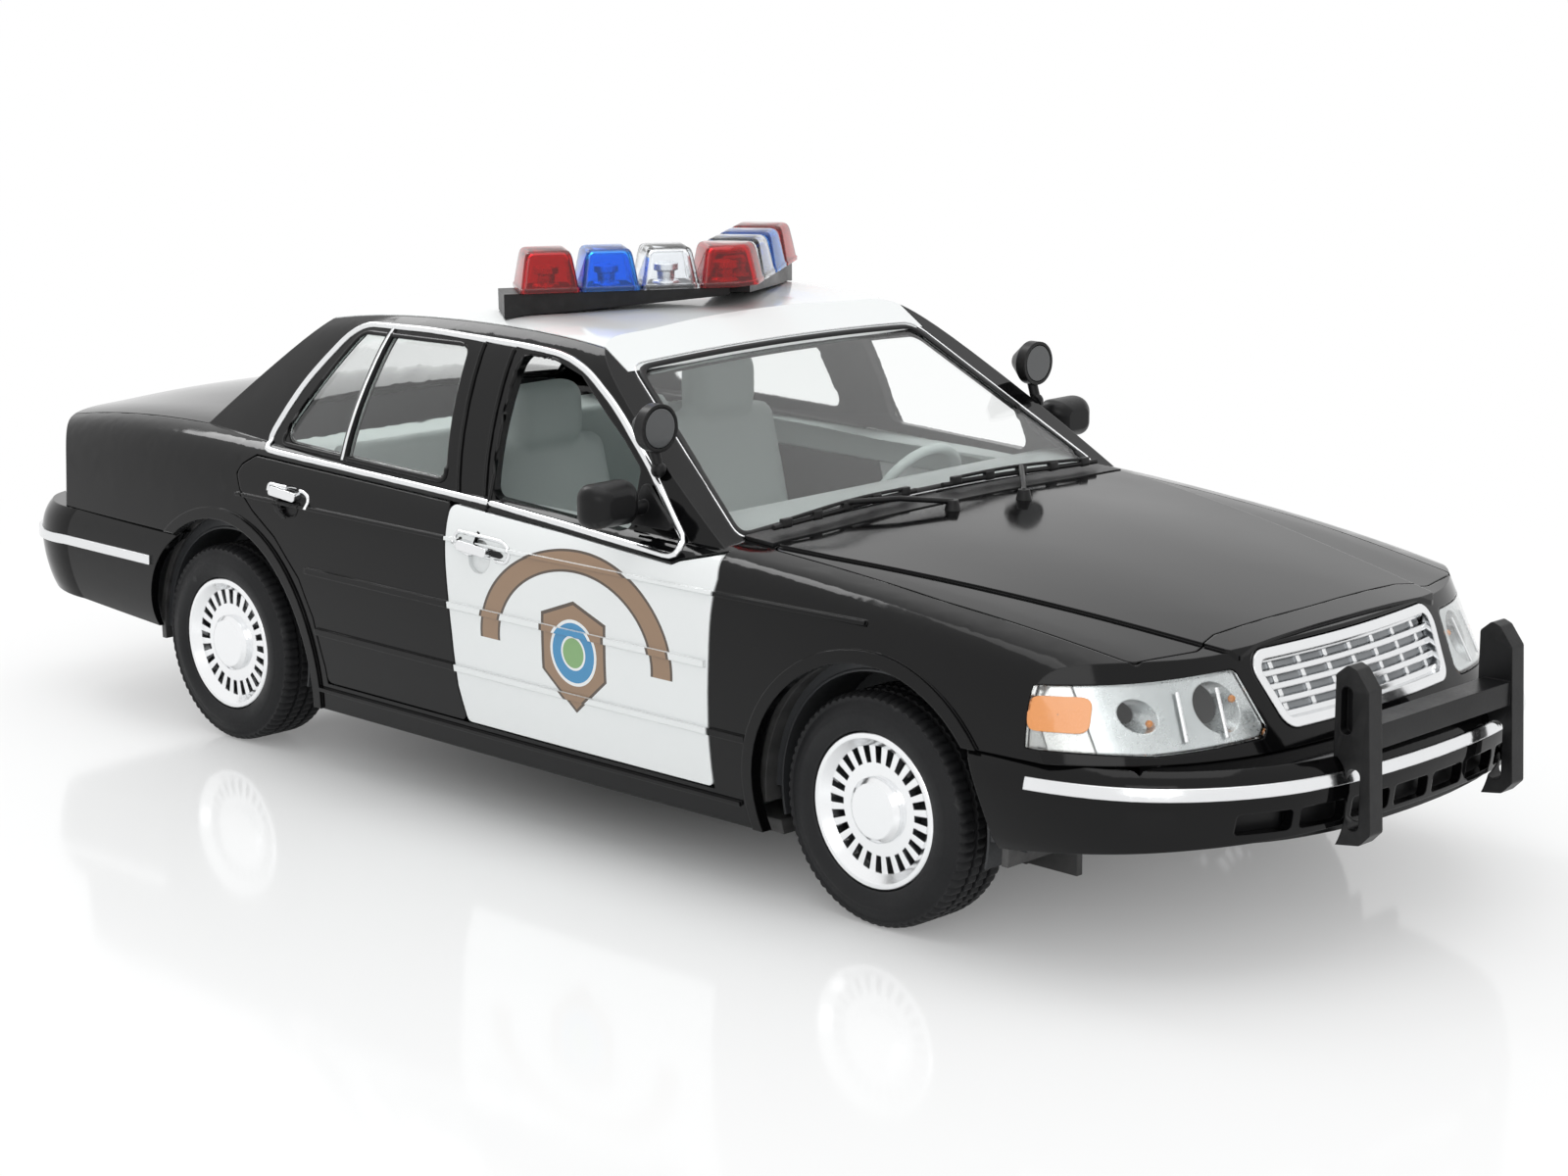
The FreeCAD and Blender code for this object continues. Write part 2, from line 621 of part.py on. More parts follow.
# Bumper covers: plan curves lofted upwards, hollow behind, with an underside that rises towards their tips
bumper_nose_shares = ((0.0, 0.0), (0.018, 0.303), (0.071, 0.530), (0.177, 0.722), (0.318, 0.859), (0.505, 0.944),
                      (0.758, 0.982))
bumper_tail_shares = ((0.0, 0.0), (0.008, 0.328), (0.028, 0.581), (0.058, 0.758), (0.101, 0.879), (0.192, 0.960),
                      (0.404, 0.995))
# Each level: share of the bumper's height, and share of the draw that it is set back from the fullest outline
bumper_level_shares = ((0.0, 1.0), (0.22, 0.35), (0.55, 0.0), (0.86, 0.1), (1.0, 0.5))
bumper_draw = 2.4
bumper_wall = 1.3
bumper_low = 12.4
front_bumper_reach = 105.3
front_bumper_tip = axle_middle + front_bumper_reach
rear_bumper_tip = axle_middle - tail_reach
front_bumper_rise = 4.6
rear_bumper_rise = 3.6
shelf_depth = 13.0
shelf_half = 33.0
tub_wall = 0.9
tub_outer = 36.4


def bumper_solid(plan_shares, tip_x, direction, from_x, low, high, inset):
    wires = []
    for level_share, draw_share in bumper_level_shares:
        z = low + (high - low) * level_share
        shrink = bumper_draw * draw_share + inset
        points = [Vector(tip_x - direction * (back * body_half_width + shrink), -half * (body_half_width - shrink), z)
                  for back, half in reversed(plan_shares)]
        points += [Vector(p.x, -p.y, z) for p in reversed(points[:-1])]
        right_end = Vector(from_x, points[0].y, z)
        left_end = Vector(from_x, points[-1].y, z)
        curve = Part.BSplineCurve()
        curve.interpolate(points)
        wires.append(Part.Wire([curve.toShape(), Part.makeLine(points[-1], left_end),
                                Part.makeLine(left_end, right_end), Part.makeLine(right_end, points[0])]))
    return Part.makeLoft(wires, True, False)


def tub_room(arch):
    return arch_disc(arch, arch[2] + tub_wall + 2 * seat_gap, -tub_outer - seat_gap, tub_outer + seat_gap)


def bumper_cover(plan_shares, tip_x, direction, from_x, high, rise, arch):
    full = bumper_solid(plan_shares, tip_x, direction, from_x, bumper_low, high, 0)
    hollow = bumper_solid(plan_shares, tip_x, direction, from_x - direction * overrun, bumper_low - wall,
                          high - bumper_wall, bumper_wall)
    far = tip_x + direction * overrun
    underside = [(from_x, bumper_low - overrun), (far, bumper_low - overrun), (far, bumper_low + rise),
                 (from_x, bumper_low)]
    shelf_ends = sorted([from_x - direction * overrun, tip_x - direction * shelf_depth])
    shelf = block(shelf_ends[0], shelf_ends[1], -shelf_half, shelf_half, 0, high + wall)
    cover = full.cut([hollow, shelf, arch_disc(arch, arch[2], -side_span, side_span), tub_room(arch),
                      side_prism(underside, 0, -side_span, side_span)])
    return full, largest(cover)


front_full, front_bumper = bumper_cover(bumper_nose_shares, front_bumper_tip, 1, front_bumper_from,
                                        front_bumper_top - seat_gap, front_bumper_rise, arch_front)
rear_full, rear_bumper = bumper_cover(bumper_tail_shares, rear_bumper_tip, -1, rear_bumper_from,
                                      rear_bumper_top - seat_gap, rear_bumper_rise, arch_rear)
intake_half = 27.0
intake_low = 16.8
intake_high = 19.1
intake_count = 8
intake_bar = 0.9
intake_round = 0.5
intake_pitch = 2 * intake_half / intake_count
for i in range(intake_count):
    low_y = -intake_half + i * intake_pitch + intake_bar / 2
    high_y = low_y + intake_pitch - intake_bar
    window = [(low_y, intake_low), (high_y, intake_low), (high_y, intake_high), (low_y, intake_high)]
    front_bumper = front_bumper.cut(front_prism(window, intake_round, front_bumper_from + overrun, far_ahead))
put("front_bumper", front_bumper)
put("rear_bumper", rear_bumper)

# Bright strips round both bumpers
strip_low = 20.8
strip_high = 22.1
rear_strip_lift = 1.3
strip_proud = 0.35
front_strip_share = 0.700
rear_strip_share = -0.625


def bumper_strip(plan_shares, tip_x, direction, from_x, high, full, lift, start_share):
    proud = bumper_solid(plan_shares, tip_x, direction, from_x, bumper_low, high, -strip_proud).cut(full)
    start_x = axle_middle + start_share * wheelbase
    ends = sorted([start_x, tip_x + direction * overrun])
    return proud.common(block(ends[0], ends[1], -side_span, side_span, strip_low + lift, strip_high + lift))


front_strip = bumper_strip(bumper_nose_shares, front_bumper_tip, 1, front_bumper_from, front_bumper_top - seat_gap,
                           front_full, 0, front_strip_share)
rear_strip = bumper_strip(bumper_tail_shares, rear_bumper_tip, -1, rear_bumper_from, rear_bumper_top - seat_gap,
                          rear_full, rear_strip_lift, rear_strip_share)
put("bumper_strips", Part.makeCompound([front_strip, rear_strip]))

# Headlamps: clear lens, reflector bowl inboard and amber turn lamp outboard behind it; tail lamps
lens_thickness = 0.6
bowl_thickness = 2.6
turn_half = 34.0
bulb_mouth = 3.2
bulb_foot = 0.7
bulb_depth = 11.7
bulb_from_share = 0.728
bulb_shares = ((0.560, 0.712), (0.760, 0.706))
lens_back = body_solid(lens_thickness, 0)
bowl_front = body_solid(lens_thickness + seat_gap, 0)
bowl_back = body_solid(lens_thickness + bowl_thickness, 0)
turn_back = body_solid(lens_thickness + bowl_thickness / 2, 0)
inboard = block(headlamp_from, far_ahead, -turn_half + seat_gap, 0, 0, roof_height)
outboard = block(headlamp_from, far_ahead, -side_span, -turn_half, 0, roof_height)
headlamp_lens = skin.cut(lens_back).common(headlamp_plug)
headlamp_bowl = bowl_front.cut(bowl_back).common(headlamp_plug).common(inboard)
turn_lamp = bowl_front.cut(turn_back).common(headlamp_plug).common(outboard)
for y, z in end_points(bulb_shares):
    headlamp_bowl = headlamp_bowl.cut(Part.makeCone(
        bulb_foot, bulb_mouth, bulb_depth, Vector(axle_middle + bulb_from_share * wheelbase, y, z), Vector(1, 0, 0)))
tail_lamp = body_layer.common(tail_lamp_plug)
put("headlamp_lenses", both_sides([headlamp_lens]))
put("headlamp_bowls", both_sides([largest(headlamp_bowl)]))
put("turn_lamps", both_sides([turn_lamp]))
put("tail_lamps", both_sides([largest(tail_lamp)]))

# Grille: a bright rounded frame with crossed bars, raked and bowed with the nose
grille_rim = 1.1
grille_rows = 5
grille_columns = 7
grille_bar = 0.55
grille_proud = 0.2
grille_row_share = 0.3
grille_column_share = 0.5


def grille_layer(front_draw):
    return ends_solid(front_draw).cut(ends_solid(grille_depth))


def grille_prism(growth):
    return front_prism(grille_corners, grille_round, front_bumper_from, far_ahead, growth)


frame = grille_layer(-grille_proud).common(grille_prism(-seat_gap).cut(grille_prism(-grille_rim)))
bar_zone = grille_prism(-grille_rim / 2)
row_layer = grille_layer(grille_depth * grille_row_share).common(bar_zone)
column_layer = grille_layer(grille_depth * grille_column_share).common(bar_zone)
row_pitch = (grille_high - grille_low) / (grille_rows + 1)
column_pitch = 2 * grille_corners[2][0] / (grille_columns + 1)
bars = []
for i in range(grille_rows):
    z = grille_low + row_pitch * (i + 1)
    bars.append(row_layer.common(block(front_bumper_from, far_ahead, -side_span, side_span, z - grille_bar / 2,
                                       z + grille_bar / 2)))
for i in range(grille_columns):
    y = column_pitch * (i + 1) - grille_corners[2][0]
    bars.append(column_layer.common(block(front_bumper_from, far_ahead, y - grille_bar / 2, y + grille_bar / 2, 0,
                                          roof_height)))
put("grille", joined([frame] + bars))

# Push bumper: two slotted uprights joined by a cross bar, held off the front bumper
upright_inner = 12.2
upright_outer = 14.5
upright_rear = 102.9
upright_low = 14.0
upright_high = 33.4
upright_round = 0.5
recess_web = 1.1
cross_low = 24.5
cross_high = 27.1
# Shares of the upright's depth and height
upright_shares = ((0.0, 0.0), (0.73, 0.026), (1.0, 0.093), (0.86, 0.871), (0.53, 0.979), (0.31, 1.0), (0.02, 0.94))
low_slot_shares = ((0.36, 0.10), (0.70, 0.10), (0.70, 0.44), (0.36, 0.44))
high_slot_shares = ((0.16, 0.62), (0.46, 0.62), (0.46, 0.88), (0.16, 0.88))
cross_share = (0.17, 0.85)


def upright_points(shares):
    depth = nose_reach - upright_rear
    return [(axle_middle + upright_rear + a * depth, upright_low + b * (upright_high - upright_low)) for a, b in shares]


upright = side_prism(upright_points(upright_shares), upright_round, -upright_outer, -upright_inner)
upright = upright.cut(side_prism(upright_points(low_slot_shares), wall, -upright_outer - wall, wall - upright_inner))
upright = upright.cut(side_prism(upright_points(high_slot_shares), wall, -upright_outer - wall,
                                 -upright_inner - recess_web))
cross_ends = [axle_middle + upright_rear + share * (nose_reach - upright_rear) for share in cross_share]
cross_bar = block(cross_ends[0], cross_ends[1], -upright_inner - seat_gap, upright_inner + seat_gap, cross_low,
                  cross_high)
bumper_seat = bumper_solid(bumper_nose_shares, front_bumper_tip, 1, front_bumper_from, bumper_low,
                           front_bumper_top - seat_gap, -seat_gap - strip_proud)
upright = largest(upright.cut(bumper_seat))
put("push_bumper", largest(joined([upright, left_copy(upright), cross_bar.cut(bumper_seat)])))

# Light bar: a swept-back vee of lamp pods on a black wedge base with two end feet
bar_apex_share = -0.010
bar_arm_angle = 33.8
bar_arm_length = 28.3
bar_base_low = 61.4
bar_base_high = 62.4
bar_end_drop = 2.0
bar_base_half = 3.2
bar_foot_inset = 2.4
bar_foot_half = 2.3
pod_count = 3
pod_pitch = 7.55
pod_length = 6.95
pod_half = 3.9
pod_high = 5.2
pod_draft = 1.3
pod_round = 1.0
apex_nose_share = 0.95
# Each level of a pod: share of its height, and share of its full draft
pod_level_shares = ((0.0, 0.0), (0.45, 0.2), (0.85, 0.62), (1.0, 1.0))
bar_lean = math.sin(math.radians(bar_arm_angle))
bar_spread = math.cos(math.radians(bar_arm_angle))
bar_apex_x = axle_middle + bar_apex_share * wheelbase


def pod_form(corners):
    """A lamp pod: a rounded outline that draws in upwards."""
    wires = []
    reach = max(abs(value) for corner in corners for value in corner)
    for height_share, draw_share in pod_level_shares:
        z = bar_base_high + seat_gap + (pod_high - seat_gap) * height_share
        scale = 1 - pod_draft * draw_share / reach
        wires.append(rounded_wire([(a * scale, b * scale) for a, b in corners], pod_round * scale,
                                  lambda p, z=z: Vector(p.x, p.y, z)))
    return Part.makeLoft(wires, True, True)


def on_arm(shape, distance):
    """The shape, built at the origin along Y, turned and moved to a distance along the right arm."""
    placed = shape.copy()
    placed.rotate(Vector(0, 0, 0), Vector(0, 0, 1), -bar_arm_angle)
    placed.translate(Vector(bar_apex_x - distance * bar_lean, -distance * bar_spread, 0))
    return placed


pod_corners = [(-pod_half, -pod_length / 2), (pod_half, -pod_length / 2), (pod_half, pod_length / 2),
               (-pod_half, pod_length / 2)]
apex_side = pod_pitch - pod_length / 2 - 3 * seat_gap
apex_corners = mirrored([(-apex_side * bar_lean - pod_half * bar_spread, -apex_side * bar_spread + pod_half * bar_lean),
                         (-apex_side * bar_lean + pod_half * bar_spread, -apex_side * bar_spread - pod_half * bar_lean),
                         (pod_half * apex_nose_share, -pod_length / 4)])
apex_pod = pod_form(apex_corners)
apex_pod.translate(Vector(bar_apex_x, 0, 0))
pods = [on_arm(pod_form(pod_corners), pod_pitch * (i + 1)) for i in range(pod_count)]
put("lightbar_pods_clear", both_sides([pods[0]]))
put("lightbar_pods_blue", both_sides([pods[1]]))
put("lightbar_pods_red", Part.makeCompound([pods[2], left_copy(pods[2]), apex_pod]))
arm = on_arm(front_prism([(0, bar_base_low), (0, bar_base_high), (-bar_arm_length, bar_base_high),
                          (-bar_arm_length, bar_base_low - bar_end_drop)], 0, -bar_base_half, bar_base_half), 0)
foot = on_arm(block(-bar_foot_half, bar_foot_half, -bar_foot_half / 2, bar_foot_half, roof_panel_floor, bar_base_high),
              bar_arm_length - bar_foot_inset)
roof_clear = greenhouse_solid(-seat_gap)
base_pieces = [arm, left_copy(arm), foot, left_copy(foot)]
put("lightbar_base", largest(joined(base_pieces).cut(roof_clear)))

# Door mirrors: a rounded housing with its glass, on a short arm from a triangular sail
mirror_place_share = (0.1845, 1.020, 1.065)
mirror_width = 7.6
mirror_height = 5.2
mirror_depth = 3.8
mirror_round = 1.7
mirror_rim = 0.7
mirror_glass_thick = 0.3
mirror_arm_radius = 0.85
mirror_arm_drop = 0.9
# Each level from the glass forwards: share of the depth, and scale of the outline
mirror_level_shares = ((0.0, 0.94), (0.2, 1.0), (0.65, 0.9), (1.0, 0.5))
mirror_sail_shares = ((0.170, 0.990), (0.234, 0.990), (0.177, 1.115))
sail_thickness = 0.5
mirror_at = side_place(mirror_place_share)


def mirror_corners(scale):
    half_y = mirror_width / 2 * scale
    half_z = mirror_height / 2 * scale
    return [(mirror_at.y - half_y, mirror_at.z - half_z), (mirror_at.y + half_y, mirror_at.z - half_z),
            (mirror_at.y + half_y, mirror_at.z + half_z), (mirror_at.y - half_y, mirror_at.z + half_z)]


mirror_wires = []
for depth_share, scale in mirror_level_shares:
    x = mirror_at.x + mirror_depth * (depth_share - 0.5)
    mirror_wires.append(rounded_wire(mirror_corners(scale), mirror_round * scale,
                                     lambda p, x=x: Vector(x, p.x, p.y)))
mirror_face = mirror_at.x - mirror_depth / 2
glass_scale = 1 - 2 * mirror_rim / mirror_height
housing = Part.makeLoft(mirror_wires, True, False).cut(
    front_prism(mirror_corners(glass_scale), mirror_round * glass_scale, mirror_face - wall,
                mirror_face + mirror_glass_thick + seat_gap))
mirror_glass = front_prism(mirror_corners(glass_scale), mirror_round * glass_scale, mirror_face + seat_gap,
                           mirror_face + seat_gap + mirror_glass_thick, -seat_gap)
sail_clear = greenhouse_solid(-trim_proud - seat_gap)
body_clear = body_solid(-arch_proud - seat_gap, 0)
arm_foot = Vector(mirror_at.x, -bead_middle, mirror_at.z - mirror_arm_drop)
mirror_arm = rod_between(Vector(mirror_at.x, mirror_at.y, arm_foot.z), arm_foot, mirror_arm_radius)
sail = side_prism(side_points(mirror_sail_shares), trim_width / 2, -side_span, -bead_middle).common(
    greenhouse_solid(-trim_proud - seat_gap - sail_thickness))
door_mirror = largest(joined([housing, mirror_arm, sail]).cut([sail_clear, body_clear]))
put("door_mirror_right", door_mirror)
put("door_mirror_left", left_copy(door_mirror))
put("mirror_glasses", both_sides([mirror_glass]))

# Pillar spotlights: a round housing with its lens, on a bent arm from the windshield pillar
spot_place_share = (0.179, 0.843, 1.266)
spot_radius = 2.8
spot_depth = 3.6
spot_rim = 0.4
spot_lens_depth = 0.5
spot_back_share = 0.4
stalk_drop = 4.9
stalk_forward = 1.1
stalk_reach = 5.0
stalk_radius = 0.65
knuckle_radius = 0.95
spot_at = side_place(spot_place_share)
spot_face = spot_at.x + spot_depth * spot_back_share
along = Vector(1, 0, 0)
spot_can = Part.makeCylinder(spot_radius, spot_depth * spot_back_share, spot_at, along)
spot_back = Part.makeCone(spot_radius, spot_radius * spot_back_share, spot_depth * (1 - spot_back_share), spot_at,
                          -along)
lens_seat = Part.makeCylinder(spot_radius - spot_rim, spot_lens_depth + seat_gap,
                              Vector(spot_face - spot_lens_depth - seat_gap, spot_at.y, spot_at.z), along)
spot_lens = Part.makeCylinder(spot_radius - spot_rim - seat_gap, spot_lens_depth,
                              Vector(spot_face - spot_lens_depth, spot_at.y, spot_at.z), along)
elbow = Vector(spot_at.x + stalk_forward, spot_at.y, spot_at.z - stalk_drop)
stalk = rod_between(elbow, Vector(spot_at.x, spot_at.y, spot_at.z - spot_radius / 2), stalk_radius)
stalk_root = rod_between(elbow, Vector(elbow.x, elbow.y + stalk_reach, elbow.z), stalk_radius)
knuckle = Part.makeSphere(knuckle_radius, elbow)
spotlight = largest(joined([spot_can.fuse(spot_back).cut(lens_seat), stalk.cut(spot_can), stalk_root, knuckle]).cut(
    sail_clear))
put("spotlight_right", spotlight)
put("spotlight_left", left_copy(spotlight))
put("spotlight_lenses", both_sides([spot_lens]))

# Cowl strip and wipers at the foot of the windshield
cowl_from_share = 0.287
cowl_half = 31.0
cowl = moulding_layer.common(block(axle_middle + cowl_from_share * wheelbase, hood_corners[0][0] - shut_gap,
                                   -cowl_half, cowl_half, greenhouse_base, roof_height)).cut(roof_clear)
# Both wipers lie across the foot of the glass: blade end, blade end and pivot of the right one
wiper_blade_shares = ((0.2935, 0.745, 1.022), (0.2960, 0.080, 1.036))
wiper_pivot_share = (0.3170, -0.040, 1.030)
wiper_step = 28.5
wiper_radius = 0.42
pivot_radius = 0.9
blade_ends = [side_place(shares) for shares in wiper_blade_shares]
pivot = side_place(wiper_pivot_share)
blade_middle = (blade_ends[0] + blade_ends[1]) * 0.5
wiper = joined([rod_between(blade_ends[0], blade_ends[1], wiper_radius), rod_between(pivot, blade_middle, wiper_radius),
                Part.makeCylinder(pivot_radius, 2 * wall, Vector(pivot.x, pivot.y, pivot.z - 2 * wall + wiper_radius))])
wiper = largest(wiper.cut(body_clear))
second_wiper = wiper.copy()
second_wiper.translate(Vector(0, wiper_step, 0))
put("cowl_panel", cowl)
put("wipers", Part.makeCompound([wiper, largest(second_wiper.cut(body_clear))]))

# Chassis plate with the wheel tubs, a tongue under the nose, a pan under the trunk and an exhaust tunnel
chassis_low = 7.0
chassis_thickness = 1.6
chassis_half = 34.5
chassis_from_share = -0.566
chassis_to_share = 0.601
tongue_half = 20.0
tongue_to_share = 0.7245
radiator_share = 0.704
trunk_pan_half = 22.5
trunk_pan_to_share = -0.841
trunk_pan_lift = 5.4
knuckle_size = 3.0
axle_inner = 22.0
beam_radius = 1.87
tub_inner = 23.5
drum_low = 11.0
exhaust_y = 12.0
exhaust_radius = 1.1
silencer_radius = 2.2
tunnel_depth = 0.5
silencer_gap = 0.6
tunnel_half = silencer_radius + silencer_gap
chassis_from = axle_middle + chassis_from_share * wheelbase
chassis_to = axle_middle + chassis_to_share * wheelbase
chassis_top = chassis_low + chassis_thickness
tongue_to = axle_middle + tongue_to_share * wheelbase
tongue_top = bumper_low + wall
radiator_x = axle_middle + radiator_share * wheelbase
trunk_pan_to = axle_middle + trunk_pan_to_share * wheelbase
drums = []
hollows = []
drum_webs = []
for arch in arches:
    radius = arch[2] + seat_gap
    drum = arch_disc(arch, radius + tub_wall, -tub_outer, -tub_inner)
    drum = drum.cut(block(far_behind, far_ahead, -side_span, side_span, -far_up, drum_low))
    hollow = arch_disc(arch, radius, -side_span, -tub_inner - tub_wall)
    web = block(arch[0] - arch[2], arch[0] + arch[2], -tub_inner - tub_wall / 2, -tub_inner + tub_wall / 2,
                chassis_low, drum_low + tub_wall)
    drums += [drum, left_copy(drum)]
    hollows += [hollow, left_copy(hollow)]
    drum_webs += [web, left_copy(web)]
tub_bores = [rod_between(Vector(x, -side_span, tyre_radius), Vector(x, side_span, tyre_radius), beam_radius + seat_gap)
             for x in (front_axle_x, rear_axle_x)]
plate = block(chassis_from, chassis_to, -chassis_half, chassis_half, chassis_low, chassis_top)
tongue = side_prism([(chassis_to - overrun, chassis_low), (tongue_to, tongue_top - chassis_thickness),
                     (tongue_to, tongue_top), (radiator_x, tongue_top), (chassis_to, chassis_top),
                     (chassis_to - overrun, chassis_top)], 0, -tongue_half, tongue_half)
trunk_pan = side_prism([(chassis_from + overrun, chassis_low), (chassis_from, chassis_low),
                        (trunk_pan_to, chassis_low + trunk_pan_lift), (trunk_pan_to, chassis_top + trunk_pan_lift),
                        (chassis_from, chassis_top), (chassis_from + overrun, chassis_top)],
                       0, -trunk_pan_half, trunk_pan_half)
knuckle_room = block(front_axle_x - knuckle_size / 2 - seat_gap, front_axle_x + knuckle_size / 2 + seat_gap,
                     -axle_inner - knuckle_size - seat_gap, seat_gap - axle_inner,
                     tyre_radius - knuckle_size - seat_gap, tyre_radius + knuckle_size + seat_gap)
tunnel = block(far_behind, far_ahead, exhaust_y - tunnel_half, exhaust_y + tunnel_half, 0, chassis_low + tunnel_depth)
chassis = plate.fuse(drums + drum_webs + [tongue, trunk_pan]).cut(hollows)
chassis = chassis.cut(tub_bores + [knuckle_room, left_copy(knuckle_room), tunnel])
put("chassis", chassis)

# Wheels: tyre with rounded shoulders, bright cover with a ring of slots round a raised cap
tyre_bead_gap = 0.05
tyre_proud = 0.4
# The tyre's section: share of the way from bead to tread, and share of the width in from its outer face
tyre_profile_shares = ((0.0, 0.08), (0.60, 0.0), (0.93, 0.09), (1.0, 0.22))
slot_count = 24
slot_inner = 5.25
slot_outer = 7.15
slot_wide = 1.0
slot_taper_share = 0.72
cap_radius = 3.7
cap_edge = 0.6
dish_depth = 1.0
rim_edge = 0.2
rim_land = 0.7
rim_inset = 1.6
cover_thick = 1.1
hub_radius = 2.4
hub_length = 6.0
hub_floor = 1.6


def lathe(points, centre_x, side, plane):
    """Points (radius, depth in from the outer face), turned about the wheel's axis."""
    corners = [Vector(centre_x, side * (plane - depth), tyre_radius + radius) for radius, depth in points]
    face = Part.Face(Part.makePolygon(corners + [corners[0]]))
    return face.revolve(Vector(centre_x, 0, tyre_radius), Vector(0, 1, 0), 360)


def wheel_tyre(centre_x, side, plane):
    bead = cover_radius + tyre_bead_gap
    front = [(bead + (tyre_radius - bead) * a, tyre_width * b) for a, b in tyre_profile_shares]
    back = [(radius, tyre_width - depth) for radius, depth in reversed(front)]
    return lathe(front + back, centre_x, side, plane + tyre_proud)


def wheel_cover(centre_x, side, plane):
    rim_back = tyre_width - rim_inset
    bore = axle_radius + bore_gap
    points = [(0, 0), (cap_radius - cap_edge, 0), (cap_radius, dish_depth / 2), (cap_radius, dish_depth),
              (slot_outer, dish_depth), (cover_radius - rim_land, 0), (cover_radius - rim_edge, 0),
              (cover_radius, rim_edge), (cover_radius, rim_back), (cover_radius - cover_thick, rim_back),
              (cover_radius - cover_thick, dish_depth + cover_thick), (hub_radius, dish_depth + cover_thick),
              (hub_radius, hub_length), (bore, hub_length), (bore, hub_floor), (0, hub_floor)]
    cover = lathe(points, centre_x, side, plane)
    narrow = slot_wide * slot_taper_share
    outline = [(-narrow / 2, slot_inner), (narrow / 2, slot_inner), (slot_wide / 2, slot_outer),
               (-slot_wide / 2, slot_outer)]
    reach = sorted([side * (plane - 3 * cover_thick), side * (plane + cover_thick)])
    slots = []
    for i in range(slot_count):
        slot = side_prism(outline, 0, reach[0], reach[1])
        slot.rotate(Vector(0, 0, 0), Vector(0, 1, 0), 360 * i / slot_count)
        slot.translate(Vector(centre_x, 0, tyre_radius))
        slots.append(slot)
    return cover.cut(slots)


for end, centre_x, plane in (("front", front_axle_x, front_cover_plane), ("rear", rear_axle_x, rear_cover_plane)):
    for side_name, side in (("right", -1), ("left", 1)):
        put("tyre_" + end + "_" + side_name, wheel_tyre(centre_x, side, plane))
        put("wheel_" + end + "_" + side_name, wheel_cover(centre_x, side, plane))

# Axles with their stub ends in the wheel bores; the front one carries the steering knuckles, fixed straight
stub_end_gap = 0.3
differential_radius = 3.7


def axle_set(centre_x, plane, with_knuckles):
    reach = plane - hub_floor - stub_end_gap
    rod = rod_between(Vector(centre_x, -reach, tyre_radius), Vector(centre_x, reach, tyre_radius), axle_radius)
    beam = rod_between(Vector(centre_x, -axle_inner, tyre_radius), Vector(centre_x, axle_inner, tyre_radius),
                       beam_radius)
    if not with_knuckles:
        return joined([rod, beam, Part.makeSphere(differential_radius, Vector(centre_x, 0, tyre_radius))])
    knuckle_block = block(centre_x - knuckle_size / 2, centre_x + knuckle_size / 2, -axle_inner - knuckle_size,
                          -axle_inner, tyre_radius - knuckle_size, tyre_radius + knuckle_size)
    return joined([rod, beam, knuckle_block, left_copy(knuckle_block)])


put("front_axle", axle_set(front_axle_x, front_cover_plane, True))
put("rear_axle", axle_set(rear_axle_x, rear_cover_plane, False))

# Cabin tub: floor, door cards and firewall, open at the top; parcel shelf behind it
dash_shares = ((0.189, 0.858), (0.194, 0.985), (0.232, 1.000), (0.292, 0.968), (0.302, 0.933), (0.302, 0.647),
               (0.223, 0.647))
dash_half = 33.8
dash_round = 1.2
cabin_from_share = -0.403
cabin_to_share = 0.313
cabin_half = 36.6
cabin_top = 38.2
card_thick = 0.9
tub_mouth_half = 30.0
tub_mouth_depth = 4.0
shelf_from_share = -0.532
shelf_panel_half = 33.0
shelf_leg_half = 20.0
shelf_leg_inset = 3.0
cabin_from = axle_middle + cabin_from_share * wheelbase
cabin_to = axle_middle + cabin_to_share * wheelbase
cabin_floor = chassis_top
floor_top = cabin_floor + card_thick
dash_points = side_points(dash_shares)
dash_room = side_prism(dash_points, dash_round, -dash_half - seat_gap, dash_half + seat_gap, seat_gap)
drum_keep = [arch_disc(arch, arch[2] + tub_wall + 2 * seat_gap, -side_span, tub_wall - tub_inner) for arch in arches]
drum_keep += [left_copy(keep) for keep in drum_keep]
tub_form = body_solid(wall + seat_gap, 0)
tub_space = block(cabin_from + card_thick, cabin_to - card_thick, -cabin_half, cabin_half, floor_top, roof_height)
tub_space = tub_space.common(body_solid(wall + seat_gap + card_thick, 0).fuse(
    block(cabin_from, cabin_to, -tub_mouth_half, tub_mouth_half, cabin_top - tub_mouth_depth, roof_height)))
cabin_tub = block(cabin_from, cabin_to, -cabin_half, cabin_half, cabin_floor, cabin_top).common(tub_form)
put("cabin_tub", largest(cabin_tub.cut(tub_space).cut(drum_keep + [dash_room])))
leg_from = cabin_from - shelf_leg_inset
put("parcel_shelf", joined([
    block(axle_middle + shelf_from_share * wheelbase, cabin_from - seat_gap, -shelf_panel_half, shelf_panel_half,
          cabin_top - card_thick, cabin_top),
    block(leg_from, leg_from + card_thick, -shelf_leg_half, shelf_leg_half, cabin_floor, cabin_top)]))

# Seats: cushions and backs with rounded edges, headrests on the front pair
seat_rear_share = -0.116
cushion_length = 23.5
cushion_thick = 10.5
cushion_top = 24.0
back_top = 42.6
back_lean = 4.0
back_thick = 4.8
back_sink = 4.0
seat_half = 9.8
seat_centre = 15.5
seat_round = 1.9
headrest_half = 5.6
headrest_top = 50.0
headrest_sink = 1.0
headrest_forward = 1.3
headrest_thick = 5.2
headrest_round = 2.2
seat_base_inset = 3.0
seat_rear = axle_middle + seat_rear_share * wheelbase


def rounded(shape, radius):
    return shape.makeFillet(radius, shape.Edges)


